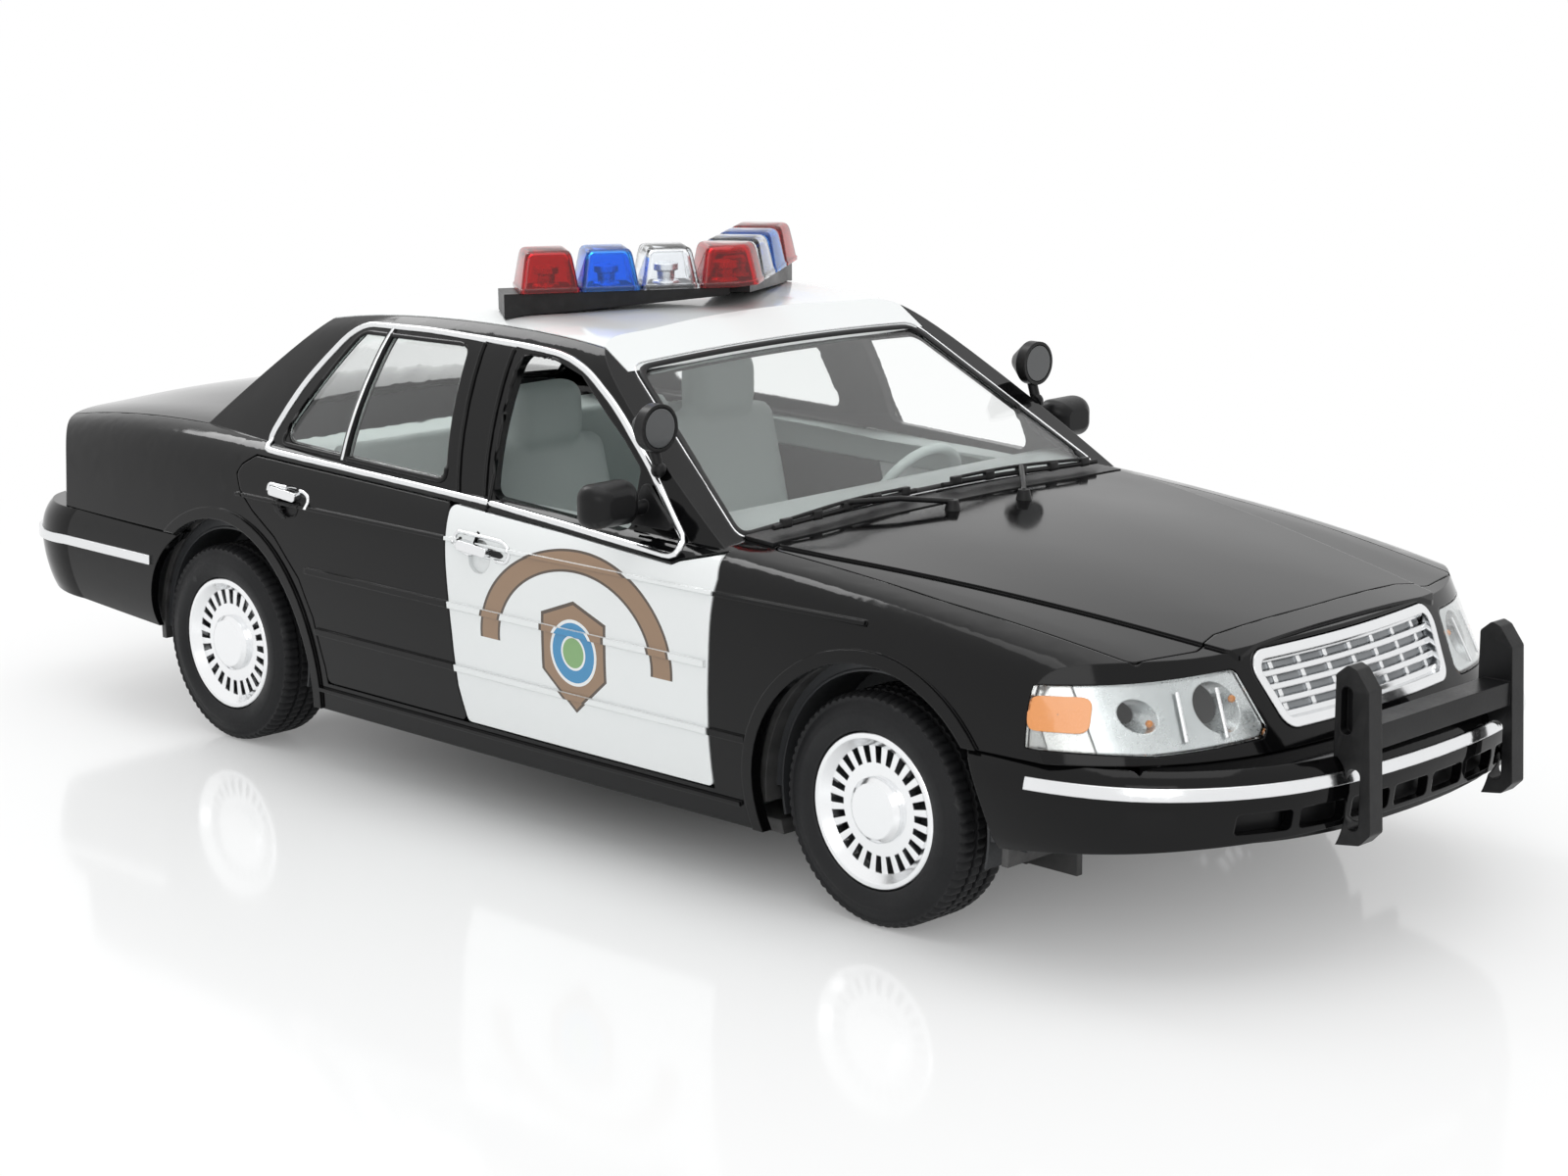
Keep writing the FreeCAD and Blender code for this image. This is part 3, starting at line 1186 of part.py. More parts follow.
def seat_back(rear, half, top, thick, radius):
    corners = [(rear + thick / 3, cushion_top - back_sink), (rear - back_lean, top),
               (rear - back_lean - thick, top), (rear - thick, cushion_top - back_sink)]
    return rounded(side_prism(corners, 0, -half, half), radius)


def front_seat(side):
    cushion = rounded(block(seat_rear, seat_rear + cushion_length, -seat_half, seat_half, cushion_top - cushion_thick,
                            cushion_top), seat_round)
    rest_x = seat_rear - back_lean + headrest_forward
    headrest = rounded(block(rest_x - headrest_thick, rest_x, -headrest_half, headrest_half, back_top - headrest_sink,
                             headrest_top), headrest_round)
    base = block(seat_rear + seat_base_inset, seat_rear + cushion_length - seat_base_inset,
                 seat_base_inset - seat_half, seat_half - seat_base_inset, floor_top, cushion_top - cushion_thick / 2)
    seat = joined([cushion, seat_back(seat_rear, seat_half, back_top, back_thick, seat_round), headrest, base])
    seat.translate(Vector(0, side * seat_centre, 0))
    return seat


put("front_seat_right", front_seat(-1))
put("front_seat_left", front_seat(1))
bench_rear_share = -0.352
bench_length = 16.0
bench_half = 29.0
bench_drop = 1.0
bench_back_drop = 2.2
bench_back_thick = 3.6
bench_back_forward = 2.4
bench_round = 1.2
bench_rear = axle_middle + bench_rear_share * wheelbase
bench = rounded(block(bench_rear, bench_rear + bench_length, -bench_half, bench_half, floor_top,
                      cushion_top - bench_drop), seat_round)
bench_back = seat_back(bench_rear + bench_back_forward, bench_half, back_top - bench_back_drop, bench_back_thick,
                       bench_round)
put("rear_seat", joined([bench, bench_back]).cut(drum_keep))

# Dashboard and steering wheel
dash_room_form = body_solid(wall + card_thick + 2 * seat_gap, 0).fuse(greenhouse_solid(wall + seat_gap))
put("dashboard", largest(side_prism(dash_points, dash_round, -dash_half, dash_half).common(dash_room_form)))
steering_radius = 7.4
steering_rim = 0.65
steering_tilt = 28.0
steering_place_shares = (0.142, 0.871)
boss_radius = 1.9
boss_thick = 1.2
spoke_thick = 1.0
spoke_wide = 1.5
column_radius = 1.0
column_length = 8.0
steering = joined([
    Part.makeTorus(steering_radius, steering_rim, Vector(0, 0, 0), Vector(1, 0, 0)),
    Part.makeCylinder(boss_radius, boss_thick, Vector(-boss_thick / 2, 0, 0), Vector(1, 0, 0)),
    block(-spoke_thick / 2, spoke_thick / 2, -steering_radius, steering_radius, -spoke_wide / 2, spoke_wide / 2),
    block(-spoke_thick / 2, spoke_thick / 2, -spoke_wide / 2, spoke_wide / 2, -steering_radius, 0),
    Part.makeCylinder(column_radius, column_length, Vector(0, 0, 0), Vector(1, 0, 0))])
steering.rotate(Vector(0, 0, 0), Vector(0, 1, 0), steering_tilt)
steering_x, steering_z = side_points([steering_place_shares])[0]
steering.translate(Vector(steering_x, seat_centre, steering_z))
put("steering_wheel", largest(steering.cut(dash_room)))

# Engine bay: block with two valve covers, an intake pipe and pulleys; radiator across the front
engine_from_share = 0.3605
engine_length = 26.0
engine_half = 8.5
engine_top = 26.5
valve_half = 2.8
valve_centre = 9.0
valve_inset = 1.0
valve_drop = 5.0
valve_rise = 1.6
plenum_radius = 2.6
plenum_inset = 3.0
plenum_sink = 0.8
pulley_radius = 2.6
pulley_thick = 1.6
pulley_shares = ((0.0, 0.20), (-0.70, 0.60), (0.70, 0.60))
engine_low = tyre_radius + beam_radius + 2 * seat_gap
engine_from = axle_middle + engine_from_share * wheelbase
engine_to = engine_from + engine_length
engine_pieces = [block(engine_from, engine_to, -engine_half, engine_half, engine_low, engine_top)]
valve_cover = block(engine_from + valve_inset, engine_to - valve_inset, -valve_centre - valve_half,
                    valve_half - valve_centre, engine_top - valve_drop, engine_top + valve_rise)
engine_pieces += [valve_cover, left_copy(valve_cover)]
plenum_z = engine_top - plenum_sink
engine_pieces.append(rod_between(Vector(engine_from + plenum_inset, 0, plenum_z),
                                 Vector(engine_to - plenum_inset, 0, plenum_z), plenum_radius))
for y_share, z_share in pulley_shares:
    engine_pieces.append(Part.makeCylinder(
        pulley_radius, pulley_thick,
        Vector(engine_to, y_share * engine_half, engine_low + z_share * (engine_top - engine_low)), Vector(1, 0, 0)))
put("engine", joined(engine_pieces))
radiator_thick = 2.4
radiator_top = 27.5
fan_radius = 6.4
fan_rim = 0.8
fan_depth = 1.2
radiator_low = tongue_top + seat_gap
fan_foot = Vector(radiator_x - fan_depth, 0, (radiator_low + radiator_top) / 2)
fan_ring = Part.makeCylinder(fan_radius, fan_depth, fan_foot, Vector(1, 0, 0)).cut(
    Part.makeCylinder(fan_radius - fan_rim, fan_depth, fan_foot, Vector(1, 0, 0)))
put("radiator", joined([block(radiator_x, radiator_x + radiator_thick, -tongue_half, tongue_half, radiator_low,
                              radiator_top), fan_ring]))

# Exhaust: a pipe along its tunnel with the silencer, cut flat under the tunnel's roof
pipe_from_share = -0.498
pipe_length = 96.0
silencer_from_share = -0.172
silencer_length = 20.0
tunnel_top = chassis_low + tunnel_depth
pipe_from = axle_middle + pipe_from_share * wheelbase
silencer_from = axle_middle + silencer_from_share * wheelbase
pipe = Part.makeCylinder(exhaust_radius, pipe_length, Vector(pipe_from, exhaust_y, tunnel_top - exhaust_radius),
                         Vector(1, 0, 0))
silencer = Part.makeCylinder(silencer_radius, silencer_length,
                             Vector(silencer_from, exhaust_y, tunnel_top - silencer_radius), Vector(1, 0, 0))
put("exhaust", joined([pipe, silencer]).cut(block(far_behind, far_ahead, -side_span, side_span, tunnel_top - seat_gap,
                                                  roof_height)))
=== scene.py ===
import json
import math
import bmesh
import bpy
from mathutils import Matrix, Vector
from mathutils.bvhtree import BVHTree


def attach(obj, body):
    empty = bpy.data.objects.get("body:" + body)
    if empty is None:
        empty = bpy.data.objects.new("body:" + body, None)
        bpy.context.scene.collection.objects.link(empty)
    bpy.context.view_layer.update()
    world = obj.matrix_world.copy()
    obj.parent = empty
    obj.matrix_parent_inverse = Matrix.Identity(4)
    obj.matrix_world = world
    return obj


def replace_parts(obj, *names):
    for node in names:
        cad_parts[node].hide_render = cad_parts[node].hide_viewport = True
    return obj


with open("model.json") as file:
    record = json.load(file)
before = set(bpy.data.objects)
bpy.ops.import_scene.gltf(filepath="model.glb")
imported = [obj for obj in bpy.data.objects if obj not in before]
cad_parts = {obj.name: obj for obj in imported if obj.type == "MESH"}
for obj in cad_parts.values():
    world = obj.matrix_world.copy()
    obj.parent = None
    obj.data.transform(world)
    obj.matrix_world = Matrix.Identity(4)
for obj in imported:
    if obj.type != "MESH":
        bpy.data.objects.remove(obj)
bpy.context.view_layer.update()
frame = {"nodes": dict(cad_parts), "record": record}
nodes = frame["nodes"]
bodyOfNode = {name: body for body, names in frame["record"]["behaviour"]["bodies"].items() for name in names}
slotOfNode = {part["node"]: part["material_slot"] for part in frame["record"]["subparts"]}
print("frame loaded,", len(nodes), "nodes")

# Effects that several materials use


def newGroup(name, inputs, outputs):
    group = bpy.data.node_groups.new(name, "ShaderNodeTree")
    for title, kind, value in inputs:
        socket = group.interface.new_socket(name=title, in_out="INPUT", socket_type=kind)
        if value is not None:
            socket.default_value = value
    for title, kind in outputs:
        group.interface.new_socket(name=title, in_out="OUTPUT", socket_type=kind)
    return group, group.nodes.new("NodeGroupInput"), group.nodes.new("NodeGroupOutput")


def addNode(tree, kind, **settings):
    # A setting goes to the socket of that name, with _ for a space, or else to the node itself
    node = tree.nodes.new(kind)
    for key, value in settings.items():
        title = key.replace("_", " ")
        if title in node.inputs:
            node.inputs[title].default_value = value
        else:
            setattr(node, key, value)
    return node


def mathNode(tree, operation, first, second=None):
    node = tree.nodes.new("ShaderNodeMath")
    node.operation = operation
    for slot, value in enumerate((first, second)):
        if value is None:
            continue
        if isinstance(value, (int, float)):
            node.inputs[slot].default_value = value
        else:
            tree.links.new(value, node.inputs[slot])
    return node.outputs[0]


def mixColor(tree, mask, first, second):
    mix = addNode(tree, "ShaderNodeMix", data_type="RGBA")
    for slot, source in ((0, mask), (6, first), (7, second)):
        tree.links.new(source, mix.inputs[slot])
    return mix.outputs[2]


def mixShaders(tree, mask, first, second, end):
    mix = addNode(tree, "ShaderNodeMixShader")
    for slot, source in enumerate((mask, first, second)):
        tree.links.new(source, mix.inputs[slot])
    tree.links.new(mix.outputs[0], end.inputs["Surface"])


def makeGrainGroup():
    # Fine grain: a value that varies over the surface, and the normal of a faint relief
    group, start, end = newGroup(
        "fineGrain",
        [("Scale", "NodeSocketFloat", 900.0), ("Low", "NodeSocketFloat", 0.3),
         ("High", "NodeSocketFloat", 0.5), ("Relief", "NodeSocketFloat", 0.1),
         ("Height", "NodeSocketFloat", 0.00002), ("Edge", "NodeSocketFloat", 0.0002)],
        [("Value", "NodeSocketFloat"), ("Normal", "NodeSocketVector")])
    place = addNode(group, "ShaderNodeTexCoord")
    fine = addNode(group, "ShaderNodeTexNoise", Detail=3.0, Roughness=0.6)
    broad = addNode(group, "ShaderNodeTexNoise", Detail=2.0)
    spread = addNode(group, "ShaderNodeMapRange", From_Min=0.35, From_Max=0.65)
    bump = addNode(group, "ShaderNodeBump")
    edge = addNode(group, "ShaderNodeBevel", samples=4)
    links = group.links
    links.new(start.outputs["Edge"], edge.inputs["Radius"])
    links.new(edge.outputs["Normal"], bump.inputs["Normal"])
    links.new(place.outputs["Object"], fine.inputs["Vector"])
    links.new(place.outputs["Object"], broad.inputs["Vector"])
    links.new(start.outputs["Scale"], fine.inputs["Scale"])
    links.new(mathNode(group, "MULTIPLY", start.outputs["Scale"], 0.06), broad.inputs["Scale"])
    both = mathNode(group, "ADD", mathNode(group, "MULTIPLY", fine.outputs["Fac"], 0.4),
                    mathNode(group, "MULTIPLY", broad.outputs["Fac"], 0.6))
    links.new(both, spread.inputs["Value"])
    links.new(start.outputs["Low"], spread.inputs["To Min"])
    links.new(start.outputs["High"], spread.inputs["To Max"])
    links.new(spread.outputs["Result"], end.inputs["Value"])
    links.new(fine.outputs["Fac"], bump.inputs["Height"])
    links.new(start.outputs["Relief"], bump.inputs["Strength"])
    links.new(start.outputs["Height"], bump.inputs["Distance"])
    links.new(bump.outputs["Normal"], end.inputs["Normal"])
    return group


def makeWearAndHighlightGroup():
    # Edge wear and painted edge highlight: a mask of convex edges, broken up by noise, that mixes a second
    # colour in; on the satin black and the grille backing that colour is lighter and is a painted highlight
    # on the edges, elsewhere it is wear
    group, start, end = newGroup(
        "edgeWear",
        [("Color", "NodeSocketColor", None), ("Worn", "NodeSocketColor", None),
         ("Amount", "NodeSocketFloat", 0.4)],
        [("Color", "NodeSocketColor"), ("Mask", "NodeSocketFloat")])
    shape = addNode(group, "ShaderNodeNewGeometry")
    place = addNode(group, "ShaderNodeTexCoord")
    noise = addNode(group, "ShaderNodeTexNoise", Scale=700.0, Detail=4.0)
    edge = addNode(group, "ShaderNodeMapRange", From_Min=0.52, From_Max=0.62)
    links = group.links
    links.new(shape.outputs["Pointiness"], edge.inputs["Value"])
    links.new(place.outputs["Object"], noise.inputs["Vector"])
    broken = mathNode(group, "MULTIPLY", edge.outputs["Result"], noise.outputs["Fac"])
    mask = mathNode(group, "MULTIPLY", broken, start.outputs["Amount"])
    links.new(mixColor(group, mask, start.outputs["Color"], start.outputs["Worn"]), end.inputs["Color"])
    links.new(mask, end.inputs["Mask"])
    return group


def makeDustAndSheenGroup():
    # Dust and painted sheen: a thin light film that gathers on upward faces and in cloudy patches; on the
    # gloss black it is partly dust and partly a painted sheen
    group, start, end = newGroup(
        "dustFilm",
        [("Color", "NodeSocketColor", None), ("Dust", "NodeSocketColor", None),
         ("Amount", "NodeSocketFloat", 0.1), ("Scale", "NodeSocketFloat", 60.0)],
        [("Color", "NodeSocketColor"), ("Mask", "NodeSocketFloat")])
    place = addNode(group, "ShaderNodeTexCoord")
    shape = addNode(group, "ShaderNodeNewGeometry")
    split = addNode(group, "ShaderNodeSeparateXYZ")
    cloud = addNode(group, "ShaderNodeTexNoise", Detail=6.0, Roughness=0.7)
    links = group.links
    links.new(place.outputs["Object"], cloud.inputs["Vector"])
    links.new(start.outputs["Scale"], cloud.inputs["Scale"])
    links.new(shape.outputs["Normal"], split.inputs[0])
    upward = mathNode(group, "ADD", mathNode(group, "MULTIPLY", split.outputs["Z"], 0.4), 0.6)
    cloudy = mathNode(group, "MULTIPLY", upward, cloud.outputs["Fac"])
    mask = mathNode(group, "MULTIPLY", cloudy, start.outputs["Amount"])
    links.new(mixColor(group, mask, start.outputs["Color"], start.outputs["Dust"]), end.inputs["Color"])
    links.new(mask, end.inputs["Mask"])
    return group


# The doors' mark in millimetres, round a middle given by the doors' own x and z
markLook = {"middle": (14.0, 24.0), "flatten": 1.38, "arc": (13.1, 16.7), "arcInk": (13.5, 16.3),
            "arcFoot": -0.6, "half": 5.6, "foot": 7.3, "footSlope": 0.82, "head": 6.2, "headSlope": 0.36,
            "inset": 0.45,
            "discs": ((4.0, "Color"), (3.6, "Ring"), (2.1, "Color"), (1.8, "Disc"))}


def makeMarkGroup():
    # Plain door mark: an arc over a shield with a roundel
    titles = ("Color", "Ink", "Edge", "Ring", "Disc")
    group, start, end = newGroup(
        "doorMark", [(title, "NodeSocketColor", None) for title in titles], [("Color", "NodeSocketColor")])
    links = group.links
    place = addNode(group, "ShaderNodeTexCoord")
    moved = addNode(group, "ShaderNodeVectorMath", operation="MULTIPLY_ADD")
    moved.inputs[1].default_value = (1000, 0, 1000)  # metres to millimetres
    moved.inputs[2].default_value = (-markLook["middle"][0], 0, -markLook["middle"][1])
    links.new(place.outputs["Object"], moved.inputs[0])
    oval = addNode(group, "ShaderNodeVectorMath", operation="MULTIPLY")
    oval.inputs[1].default_value = (1, 1, markLook["flatten"])
    links.new(moved.outputs[0], oval.inputs[0])
    reach, wide = [addNode(group, "ShaderNodeVectorMath", operation="LENGTH") for _ in range(2)]
    links.new(moved.outputs[0], reach.inputs[0])
    links.new(oval.outputs[0], wide.inputs[0])
    # Only faces that look outwards, away from the cabin, carry the mark
    shape = addNode(group, "ShaderNodeNewGeometry")
    split, facing, side = [addNode(group, "ShaderNodeSeparateXYZ") for _ in range(3)]
    links.new(moved.outputs[0], split.inputs[0])
    links.new(shape.outputs["Normal"], facing.inputs[0])
    links.new(place.outputs["Object"], side.inputs[0])
    product = mathNode(group, "MULTIPLY", facing.outputs["Y"], side.outputs["Y"])
    outward = mathNode(group, "GREATER_THAN", product, 0.0)
    across = mathNode(group, "ABSOLUTE", split.outputs["X"])
    height = split.outputs["Z"]

    def band(low, high):
        ring = mathNode(group, "MULTIPLY", mathNode(group, "GREATER_THAN", wide.outputs["Value"], low),
                        mathNode(group, "LESS_THAN", wide.outputs["Value"], high))
        return mathNode(group, "MULTIPLY", ring, mathNode(group, "GREATER_THAN", height, markLook["arcFoot"]))

    def slope(level, share):
        return mathNode(group, "SUBTRACT", level, mathNode(group, "MULTIPLY", across, share))

    def shield(grow):
        sides = mathNode(group, "SUBTRACT", markLook["half"] + grow, across)
        foot = slope(mathNode(group, "ADD", height, markLook["foot"] + grow), markLook["footSlope"])
        head = slope(mathNode(group, "SUBTRACT", markLook["head"] + grow, height), markLook["headSlope"])
        least = mathNode(group, "MINIMUM", sides, mathNode(group, "MINIMUM", foot, head))
        return mathNode(group, "GREATER_THAN", least, 0.0)

    layers = [(band(*markLook["arc"]), "Edge"), (band(*markLook["arcInk"]), "Ink"), (shield(0.0), "Edge"),
              (shield(-markLook["inset"]), "Ink")]
    for radius, title in markLook["discs"]:
        layers.append((mathNode(group, "LESS_THAN", reach.outputs["Value"], radius), title))
    current = start.outputs["Color"]
    for mask, title in layers:
        current = mixColor(group, mathNode(group, "MULTIPLY", mask, outward), current, start.outputs[title])
    links.new(current, end.inputs["Color"])
    return group


effects = {"grain": makeGrainGroup(), "wear": makeWearAndHighlightGroup(), "dust": makeDustAndSheenGroup(),
           "mark": makeMarkGroup()}
print("effects made")

# Materials


def newMaterial(name, color, roughness, **shader):
    material = bpy.data.materials.new(name)
    material.use_nodes = True
    tree = material.node_tree
    surface = tree.nodes["Principled BSDF"]
    surface.inputs["Base Color"].default_value = (*color, 1)
    surface.inputs["Roughness"].default_value = roughness
    for title, value in shader.items():
        surface.inputs[title.replace("_", " ")].default_value = value
    return material, tree, surface


def useEffect(tree, effect, **values):
    node = tree.nodes.new("ShaderNodeGroup")
    node.node_tree = effects[effect]
    for title, value in values.items():
        node.inputs[title].default_value = value
    return node


def useGrain(tree, surface, roughness, grain):
    fine = useEffect(tree, "grain", Scale=grain["scale"], Low=roughness[0], High=roughness[1],
                     Relief=grain["relief"], Height=grain["height"])
    tree.links.new(fine.outputs["Value"], surface.inputs["Roughness"])
    tree.links.new(fine.outputs["Normal"], surface.inputs["Normal"])


def solidMaterial(name, color, roughness, grain, wear=None, dust=None, **shader):
    # An opaque finish: colour with optional edge wear and painted edge highlight, and dust and painted sheen,
    # roughness and relief from the grain
    material, tree, surface = newMaterial(name, color, roughness[0], **shader)
    useGrain(tree, surface, roughness, grain)
    source = None
    if wear:
        node = useEffect(tree, "wear", Color=(*color, 1), Worn=(*wear["color"], 1), Amount=wear["amount"])
        source = node.outputs["Color"]
    if dust:
        node = useEffect(tree, "dust", Color=(*color, 1), Dust=(*dust["color"], 1), Amount=dust["amount"],
                         Scale=dust["scale"])
        if source:
            tree.links.new(source, node.inputs["Color"])
        source = node.outputs["Color"]
    if source:
        tree.links.new(source, surface.inputs["Base Color"])
    return material


def clearMaterial(name, color, roughness, grain, shadow, clear=1.0):
    # A clear or tinted plastic: it refracts, and lets the lamps' light through to what lies behind it
    material, tree, surface = newMaterial(name, color, roughness[0], IOR=1.46, Transmission_Weight=clear)
    useGrain(tree, surface, roughness, grain)
    through = addNode(tree, "ShaderNodeBsdfTransparent", Color=(*shadow, 1))
    path = addNode(tree, "ShaderNodeLightPath")
    mixShaders(tree, path.outputs["Is Shadow Ray"], surface.outputs[0], through.outputs[0],
               tree.nodes["Material Output"])
    return material


smoothRelief = {"scale": 1500.0, "relief": 0.06, "height": 0.00001}
satinRelief = {"scale": 2600.0, "relief": 0.25, "height": 0.00003}
dustAndSheenColor = (0.55, 0.53, 0.50)
whitePaint = (0.86, 0.885, 0.885)
materials = {
    # The faint light film on the gloss black's upward faces is partly dust and partly a painted sheen
    "black_paint": solidMaterial("glossBlack", (0.002, 0.002, 0.0023), (0.05, 0.10), smoothRelief,
                                 dust={"color": dustAndSheenColor, "amount": 0.004, "scale": 40.0}, IOR=1.42,
                                 Specular_IOR_Level=0.30),
    "white_paint": solidMaterial("glossWhite", whitePaint, (0.12, 0.20), smoothRelief,
                                 dust={"color": (0.62, 0.61, 0.58), "amount": 0.08, "scale": 30.0},
                                 Coat_Weight=0.5, Coat_Roughness=0.05),
    "bright_trim": solidMaterial("brightTrim", (0.80, 0.81, 0.82), (0.10, 0.22), smoothRelief,
                                 wear={"color": (0.95, 0.95, 0.96), "amount": 0.3}, Metallic=1.0),
    "clear_glass": clearMaterial("clearPane", (0.97, 0.985, 0.98), (0.0, 0.03), smoothRelief,
                                 (0.93, 0.95, 0.94)),
    "amber_lens": solidMaterial("amberLens", (0.86, 0.33, 0.09), (0.18, 0.30), satinRelief, Coat_Weight=0.8,
                                Coat_Roughness=0.05),
    "red_lens": solidMaterial("redLens", (0.40, 0.008, 0.009), (0.06, 0.14), smoothRelief,
                              Specular_IOR_Level=0.35),
    "clear_pod": clearMaterial("clearPod", (0.93, 0.95, 0.97), (0.0, 0.04), smoothRelief,
                               (0.9, 0.92, 0.95)),
    "blue_pod": clearMaterial("bluePod", (0.02, 0.32, 0.95), (0.0, 0.04), smoothRelief,
                              (0.1, 0.35, 0.95), 0.93),
    "red_pod": clearMaterial("redPod", (0.60, 0.006, 0.012), (0.0, 0.04), smoothRelief,
                             (0.8, 0.06, 0.06), 0.93),
    # The satin black's lighter edge colour is a painted highlight where light catches the edges
    "black_plastic": solidMaterial("satinBlack", (0.006, 0.006, 0.0065), (0.28, 0.42), satinRelief,
                                   wear={"color": (0.05, 0.05, 0.05), "amount": 0.5}, IOR=1.4,
                                   Specular_IOR_Level=0.32),
    "lamp_grey": solidMaterial("lampGrey", (0.02, 0.024, 0.027), (0.10, 0.20), satinRelief, Coat_Weight=1.0,
                               Coat_Roughness=0.04),
    "chassis_grey": solidMaterial("chassisGrey", (0.016, 0.0165, 0.0175), (0.45, 0.65), satinRelief,
                                  wear={"color": (0.16, 0.16, 0.16), "amount": 0.5},
                                  dust={"color": dustAndSheenColor, "amount": 0.10, "scale": 60.0}),
    "cabin_grey": solidMaterial("cabinGrey", (0.50, 0.56, 0.545), (0.50, 0.70), satinRelief,
                                wear={"color": (0.45, 0.47, 0.46), "amount": 0.3}),
    "cabin_dark": solidMaterial("cabinDark", (0.035, 0.037, 0.04), (0.40, 0.60), satinRelief),
    "engine_grey": solidMaterial("engineGrey", (0.12, 0.125, 0.13), (0.35, 0.55), satinRelief,
                                 wear={"color": (0.40, 0.40, 0.41), "amount": 0.5}),
    "tyre_rubber": solidMaterial("tyreRubber", (0.009, 0.0093, 0.0105), (0.42, 0.62), satinRelief,
                                 wear={"color": (0.10, 0.10, 0.10), "amount": 0.35},
                                 dust={"color": (0.30, 0.30, 0.30), "amount": 0.03, "scale": 90.0},
                                 Specular_IOR_Level=0.25),
    "wheel_silver": solidMaterial("wheelSilver", (0.90, 0.91, 0.92), (0.14, 0.26), smoothRelief,
                                  Metallic=1.0),
    "podSilver": solidMaterial("podSilver", (0.86, 0.87, 0.88), (0.20, 0.34), satinRelief, Metallic=0.8),
    # The grille backing's dark metal is partly the chrome behind the bars and partly painted shade in the
    # gaps between them; its lighter edge colour is a painted highlight
    "grilleGrey": solidMaterial("grilleGrey", (0.24, 0.25, 0.26), (0.25, 0.45), satinRelief, Metallic=1.0,
                                wear={"color": (0.75, 0.76, 0.77), "amount": 0.5}),
    "bowlSilver": solidMaterial("bowlSilver", (0.58, 0.60, 0.61), (0.20, 0.42), satinRelief, Metallic=0.85,
                                wear={"color": (0.85, 0.86, 0.87), "amount": 0.6}),
    "lampShell": solidMaterial("lampShell", (0.55, 0.55, 0.54), (0.16, 0.30), satinRelief, Metallic=0.6,
                               Coat_Weight=1.0, Coat_Roughness=0.04),
    "dashGrey": solidMaterial("dashGrey", (0.33, 0.36, 0.355), (0.45, 0.65), satinRelief,
                              wear={"color": (0.34, 0.36, 0.36), "amount": 0.3}),
    "doorWhite": solidMaterial("doorWhite", whitePaint, (0.12, 0.20), smoothRelief, Coat_Weight=0.5,
                               Coat_Roughness=0.05),
}


def markDoors(material):
    tree = material.node_tree
    node = useEffect(tree, "mark", Color=(*whitePaint, 1), Ink=(0.30, 0.185, 0.105, 1),
                     Edge=(0.075, 0.048, 0.030, 1), Ring=(0.03, 0.26, 0.52, 1), Disc=(0.22, 0.42, 0.16, 1))
    tree.links.new(node.outputs["Color"], tree.nodes["Principled BSDF"].inputs["Base Color"])


markDoors(materials["doorWhite"])
print("materials made,", len(materials))

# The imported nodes, whose shapes stay
finishOfNode = {"steering_wheel": "cabin_grey", "dashboard": "dashGrey", "turn_lamps": "lampShell",
                "headlamp_bowls": "bowlSilver", "front_door_right": "doorWhite",
                "front_door_left": "doorWhite"}
for nodeName, node in nodes.items():
    node.data.materials.clear()
    node.data.materials.append(materials[finishOfNode.get(nodeName, slotOfNode[nodeName])])
print("nodes dressed")

# Helpers for the new pieces, whose sizes are in millimetres
mm = 0.001
outside = {"side": 60, "top": 80, "front": 130}  # where lines start before they are laid on the car


def dress(piece, slot, body, finish=None):
    piece.data.materials.clear()
    piece.data.materials.append(materials[finish or slot])
    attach(piece, body)
    return piece


def newPiece(name, bm, slot, body, smooth=40.0, finish=None):
    bmesh.ops.recalc_face_normals(bm, faces=bm.faces)
    mesh = bpy.data.meshes.new(name)
    bm.to_mesh(mesh)
    bm.free()
    piece = bpy.data.objects.new(name, mesh)
    bpy.context.scene.collection.objects.link(piece)
    mesh.shade_smooth()
    mesh.set_sharp_from_angle(angle=math.radians(smooth))
    return dress(piece, slot, body, finish)


def surfaceOf(*names):
    corners, faces = [], []
    for name in names:
        mesh = nodes[name].data
        first = len(corners)
        corners += [vertex.co.copy() for vertex in mesh.vertices]
        faces += [[first + i for i in polygon.vertices] for polygon in mesh.polygons]
    return BVHTree.FromPolygons(corners, faces)


def hullOf(name):
    # The convex form round a node, to lay a backing behind its bars
    bm = bmesh.new()
    bm.from_mesh(nodes[name].data)
    result = bmesh.ops.convex_hull(bm, input=bm.verts)
    faces = [item for item in result["geom"] if isinstance(item, bmesh.types.BMFace)]
    bm.verts.index_update()
    corners = [vertex.co.copy() for vertex in bm.verts]
    tree = BVHTree.FromPolygons(corners, [[vertex.index for vertex in face.verts] for face in faces])
    bm.free()
    return tree


def drape(tree, starts, direction, lift=0.0, stretch=3, slack=2 * mm):
    # Each start goes along the direction to the surface, or to the nearest place where it would jump
    places, normals = [], []
    for start in starts:
        place, normal, _, _ = tree.ray_cast(start, direction)
        jump = stretch * (start - last).length + slack if places else 0.0
        if place is None or (places and (place - places[-1]).length > jump):
            reach = (places[-1] - start).dot(direction) if places else 0.0
            place, normal, _, _ = tree.find_nearest(start + direction * reach)
        if normal.dot(direction) > 0:
            normal = -normal
        places.append(place + normal * lift)
        normals.append(normal)
        last = start
    return places, normals


def layFromSide(tree, points, side, lift=0.0):
    starts = [Vector((x, side * outside["side"], z)) * mm for x, z in points]
    return drape(tree, starts, Vector((0, -side, 0)), lift)


def layFromTop(tree, points):
    return drape(tree, [Vector((x, y, outside["top"])) * mm for x, y in points], Vector((0, 0, -1)))


def layFromFront(tree, points):
    return drape(tree, [Vector((outside["front"], y, z)) * mm for y, z in points], Vector((-1, 0, 0)))


def evenRun(first, last, steps):
    # Even steps from the first point to the last
    return [[a + (b - a) * k / steps for a, b in zip(first, last)] for k in range(steps + 1)]


